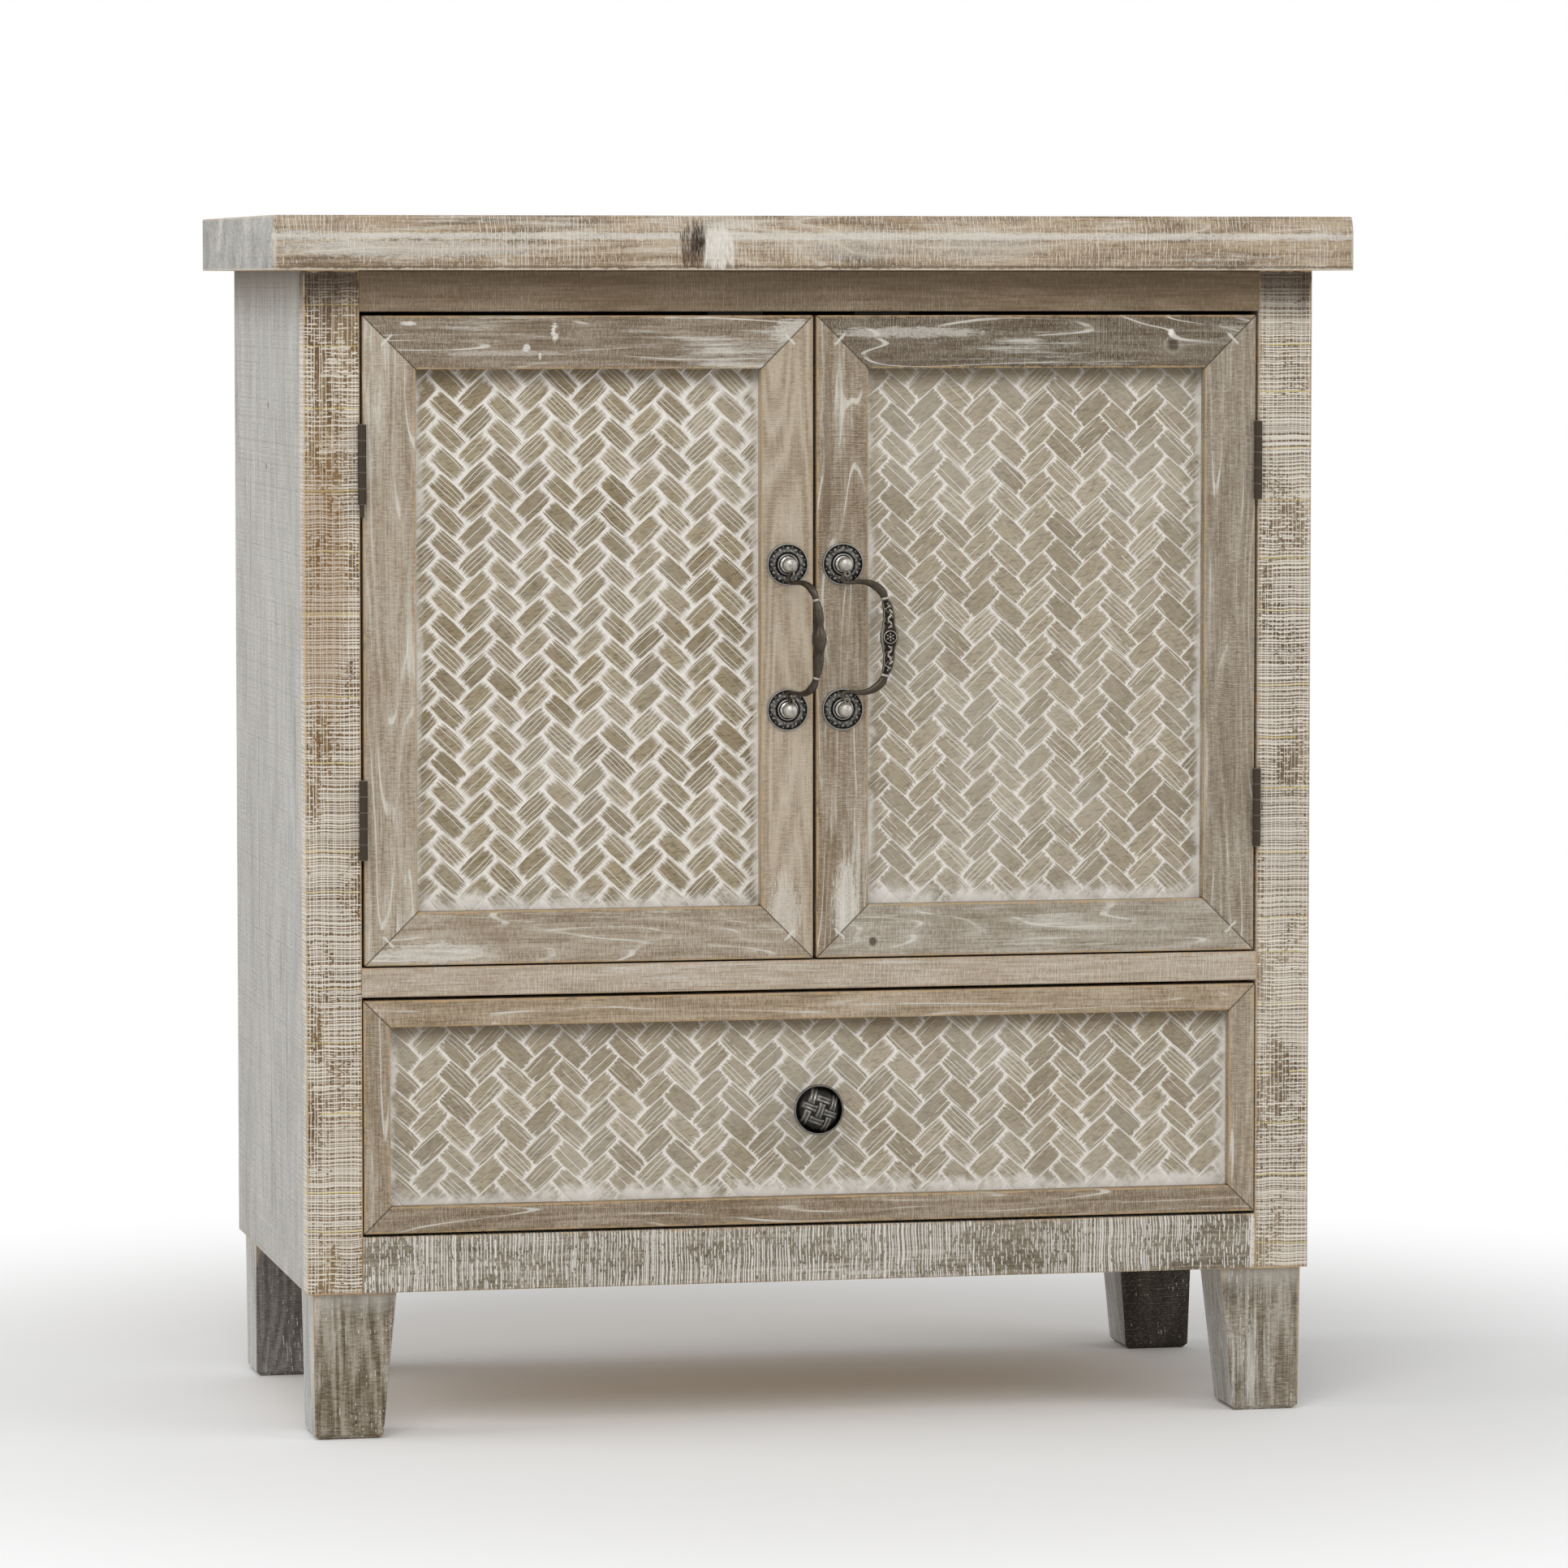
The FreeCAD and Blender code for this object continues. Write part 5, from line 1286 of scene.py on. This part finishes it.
class CABINET_OT_bails(bpy.types.Operator):
    """Makes the two bails smooth, with the relief on the outer face of each grip"""
    bl_idname = "cabinet.bails"
    bl_label = "Forge the Bails"

    def execute(self, context):
        finish = metal("bail_pewter", "15110c", "3c342a", "b9b2a5", 0.8, 0.36, 0.95)
        right = copied_node("right_bail", "right_bail_cast")
        ornament = gathered(grip_ornament(right), "grip_relief")
        pivot = Vector((box_middle("left_handle_posts").x, POST_PIVOT_Y, 0))
        turn = (turned_round(pivot, context.scene.cabinet_sizes.left_bail_turn, "Z")
                @ Matrix.Scale(-1, 4, Vector((1, 0, 0))))
        mirrored = facing_out(again(ornament, turn))
        left = copied_node("left_bail", "left_bail_cast")
        forwards = Vector((0, -1, 0))
        for side, piece, relief, outward in (
                ("left", left, mirrored, turn.to_3x3() @ forwards), ("right", right, ornament, forwards)):
            with at_the_bench(piece):
                bpy.ops.mesh.tris_convert_to_quads()
            finish_with(piece, "SUBSURF", levels=1, render_levels=1)
            shape_grip(piece)
            mark_grip(piece, outward)
            whole = smoothed(gathered([piece, relief], side + "_bail_cast"), 50)
            whole.data.materials.clear()
            whole.data.materials.append(finish)
            for face in whole.data.polygons:
                face.material_index = 0
            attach(whole, side + "_bail")
            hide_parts(side + "_bail")
        return {"FINISHED"}


# ---------------------------------------------------------------- the knob

KNOB_RINGS = (
    (0.0, 9.0), (1.6, 9.0), (2.6, 8.0), (3.4, 6.2), (6.0, 5.4), (10.0, 5.5), (13.0, 6.6), (15.5, 9.4),
    (17.6, 12.8), (19.6, 15.4), (21.0, 16.4), (21.8, 16.4), (22.3, 15.9), (22.2, 15.2), (21.4, 14.8),
    (20.7, 14.2), (20.9, 13.6), (22.4, 12.6), (24.2, 10.8), (25.6, 8.4), (26.5, 5.4), (26.9, 2.2), (26.95, 0.6))
DOME_FOOT, DOME_RADIUS = 20.9, 13.6
RIM_RADIUS = 15.0
WEAVE_RADIUS = 11.0  # how far out the middle of a strip may lie
STRIP_LENGTH, STRIP_WIDTH = 1.44, 0.68  # as shares of the weave's pitch
STRIP_PROUD, STRIP_SUNK = 1.35, 0.3  # how high a strip's ridges are, and how deep its ends lie in the dome
STRIP_BODY = 1.2


def knob_crown(reach):
    """How far out the knob's dome stands at a distance from its middle."""
    points = [(radius, out) for out, radius in reversed(KNOB_RINGS)
              if out >= DOME_FOOT and radius <= DOME_RADIUS]
    for (near, high), (far, low) in zip(points, points[1:]):
        if near <= reach <= far:
            return high + (low - high) * (reach - near) / (far - near)
    return points[0][1] if reach < points[0][0] else points[-1][1]


def woven_strip(centre, across, up, degrees, length, width):
    """One raised strip of the knob's weave: a pair of ridges that dives under at both ends."""
    set_aside()
    bpy.ops.mesh.primitive_grid_add(x_subdivisions=8, y_subdivisions=6, size=1, location=(0, 0, 0))
    strip = settle("woven_strip")
    lean = math.radians(degrees)
    proud = []
    for point in strip.data.vertices:
        along, over = 2 * point.co.x, 2 * point.co.y
        x = across + (along * length * math.cos(lean) - over * width * math.sin(lean)) / 2
        z = up + (along * length * math.sin(lean) + over * width * math.cos(lean)) / 2
        ridges = 0.55 + 0.45 * abs(math.sin(math.pi * over)) - 0.75 * abs(over) ** 6
        out = knob_crown(math.hypot(x, z)) + STRIP_PROUD * ridges * (1 - along ** 4) - STRIP_SUNK
        point.co = Vector((centre.x + x * MM, centre.y - out * MM, centre.z + z * MM))
        proud.append((1 - along ** 2) * 1.5 * (ridges - 0.5) - 0.5 * along ** 2)
    marked(thickened(strip, STRIP_BODY * MM), -0.8)
    for place, worth in enumerate(proud):
        strip.data.attributes["relief"].data[place].value = worth
    return strip


class CABINET_OT_knob(bpy.types.Operator):
    """Casts the drawer knob with its rim and its woven dome"""
    bl_idname = "cabinet.knob"
    bl_label = "Cast the Knob"

    def execute(self, context):
        sizes = context.scene.cabinet_sizes
        centre = box_middle("knob")
        centre.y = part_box("drawer_front_panel")[0].y
        body = marked(turned("knob_body", centre, KNOB_RINGS, 48), -0.8)
        mark_where(body, centre, lambda reach: reach > RIM_RADIUS, -0.1)
        pieces = [body]
        turn = math.radians(sizes.weave_turn)
        pitch = sizes.weave_pitch / MM
        for row in range(-2, 3):
            for column in range(-2, 3):
                x = column * pitch * math.cos(turn) - row * pitch * math.sin(turn)
                z = column * pitch * math.sin(turn) + row * pitch * math.cos(turn)
                if math.hypot(x, z) <= WEAVE_RADIUS:
                    lean = sizes.weave_turn + (90 if (row + column) % 2 == 0 else 0)
                    pieces.append(woven_strip(centre, x, z, lean, pitch * STRIP_LENGTH, pitch * STRIP_WIDTH))
        whole = smoothed(gathered(pieces, "knob_cast"), 45)
        whole.data.materials.append(metal("knob_pewter", "0f0d0b", "2f2c28", "95928c", 0.8, 0.3, 0.62))
        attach(whole, "drawer")
        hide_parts("knob")
        return {"FINISHED"}


# ---------------------------------------------------------------- the stage

CAMERA_PLACE = (-0.9667, FRONT - 4.533398, 0.7351)
CAMERA_DOWN, CAMERA_LEFT = 3.958, 11.793  # in degrees
LENS, FILM = 166.58, 36  # in millimetres, as fitted to the photograph
LAMP_TARGET = Vector((0, FRONT, 0.42))


class CABINET_OT_stage(bpy.types.Operator):
    """Sets up the pale floor, the soft lamps and the camera"""
    bl_idname = "cabinet.stage"
    bl_label = "Set the Stage"

    def execute(self, context):
        stage = context.scene.cabinet_stage
        set_aside()
        bpy.ops.mesh.primitive_plane_add(size=24, location=(0, 0, 0))
        floor = settle("floor")
        floor.data.materials.append(floor_white())
        light_world(context)
        for name, power, size, place in (
                ("key_lamp", stage.key_power, 2.6, (-1.2, -3.2, 3.3)),
                ("fill_lamp", stage.fill_power, 2.6, (3.2, -2.4, 1.9)),
                ("left_lamp", stage.left_power, 2.0, (-3.4, 0.2, 1.8))):
            bpy.ops.object.light_add(type="AREA", location=place)
            lamp = bpy.context.object
            lamp.name = name
            lamp.data.size = size
            lamp.data.energy = power
            lamp.rotation_euler = (LAMP_TARGET - Vector(place)).to_track_quat("-Z", "Y").to_euler()
        bpy.ops.object.camera_add(
            location=CAMERA_PLACE, rotation=(math.radians(90 - CAMERA_DOWN), 0, math.radians(-CAMERA_LEFT)))
        camera = bpy.context.object
        camera.name = "photograph_camera"
        camera.data.sensor_width = FILM
        camera.data.lens = LENS
        context.scene.camera = camera
        context.scene.view_settings.view_transform = "Standard"
        return {"FINISHED"}


# ---------------------------------------------------------------- sizes, colours and the panel

def length(label, description, default):
    """A length that a user may change."""
    return FloatProperty(name=label, description=description, default=default, unit="LENGTH", precision=5)


def colour(label, description, value):
    """A colour that a user may change."""
    return FloatVectorProperty(
        name=label, description=description, default=tint(value)[:3], size=3, subtype="COLOR", min=0, max=1)


def power(label, description, watts):
    """A lamp's power that a user may change."""
    return FloatProperty(name=label, description=description, default=watts, unit="POWER")


class CabinetSizes(bpy.types.PropertyGroup):
    """Sizes of the carving, the handles and the knob"""
    pitch_across: length("Pitch Across", "From one herringbone column to the next like it", 0.03646)
    pitch_up: length("Pitch Up", "From one brick to the one above it", 0.01754)
    brick_bend: length("Brick Bend", "Where a brick's long edge turns, across from its lowest corner", 0.0101)
    groove_depth: length("Groove Depth", "How deep the grooves between the bricks are", 0.0009)
    bevel_height: length("Bevel Height", "How far the top's front bevel reaches down", 0.0095)
    bevel_depth: length("Bevel Depth", "How far the top's front bevel reaches back", 0.0035)
    bevel_sway: length("Bevel Sway", "How far the hand-worn bevel wanders", 0.0016)
    rosette_leaves: IntProperty(
        name="Rosette Leaves", description="Leaves round each rosette", default=12, min=6)
    weave_pitch: length("Weave Pitch", "From one strip to the next on the knob", 0.0073)
    weave_turn: FloatProperty(
        name="Weave Turn", description="How far the knob's weave leans, in degrees", default=-21.0)
    left_bail_turn: FloatProperty(
        name="Left Bail Turn", description="From flat left to where the left bail rests, in degrees",
        default=118.0)


class CabinetColours(bpy.types.PropertyGroup):
    """Colours of the paint and the carving"""
    whitewash: colour("Whitewash", "Thin white paint left on the boards", "dcd8cf")
    saw_cream: colour("Saw Cream", "Paint left in the saw marks", "eae2d4")
    bare_arris: colour("Bare Arris", "Wood where the edges are rubbed bare", "c2a379")
    deep_brown: colour("Deep Brown", "Pores, knots and joint lines", "43362a")
    groove_white: colour("Groove White", "Chalky paint in the carving", "f2eee8")
    carving_dark: colour("Carving Dark", "The darkest of the bricks' wood", "7a6c53")
    carving_mid: colour("Carving Middle", "The bricks' wood", "9d8f74")
    carving_pale: colour("Carving Pale", "The palest of the bricks' wood", "b9ac93")


class CabinetStage(bpy.types.PropertyGroup):
    """Lamps and background"""
    key_power: power("Key Lamp", "The lamp above the front", 63.0)
    fill_power: power("Fill Lamp", "The lamp at the right", 27.0)
    left_power: power("Left Lamp", "The lamp at the left", 32.0)
    world_light: FloatProperty(name="World Light", description="Light from all round", default=0.5)


ORDER = (
    CABINET_OT_effects,
    CABINET_OT_boards,
    CABINET_OT_hardware,
    CABINET_OT_top_board,
    CABINET_OT_carved_panels,
    CABINET_OT_rosettes,
    CABINET_OT_bails,
    CABINET_OT_knob,
    CABINET_OT_stage,
)


class CABINET_PT_dress(bpy.types.Panel):
    """Lists the steps that dress the cabinet"""
    bl_label = "Carved Cabinet"
    bl_idname = "CABINET_PT_dress"
    bl_space_type = "VIEW_3D"
    bl_region_type = "UI"
    bl_category = "Cabinet"

    def draw(self, context):
        for group in (context.scene.cabinet_sizes, context.scene.cabinet_colours, context.scene.cabinet_stage):
            box = self.layout.box()
            for name in group.__annotations__:
                box.prop(group, name)
        for step in ORDER:
            self.layout.operator(step.bl_idname)


CLASSES = (CabinetSizes, CabinetColours, CabinetStage) + ORDER + (CABINET_PT_dress,)


def register():
    for kind in CLASSES:
        bpy.utils.register_class(kind)
    bpy.types.Scene.cabinet_sizes = PointerProperty(type=CabinetSizes)
    bpy.types.Scene.cabinet_colours = PointerProperty(type=CabinetColours)
    bpy.types.Scene.cabinet_stage = PointerProperty(type=CabinetStage)


def unregister():
    del bpy.types.Scene.cabinet_stage
    del bpy.types.Scene.cabinet_colours
    del bpy.types.Scene.cabinet_sizes
    for kind in reversed(CLASSES):
        bpy.utils.unregister_class(kind)


def main():
    register()
    for step in ORDER:
        getattr(bpy.ops.cabinet, step.bl_idname.split(".")[1])()


if __name__ == "__main__":
    main()
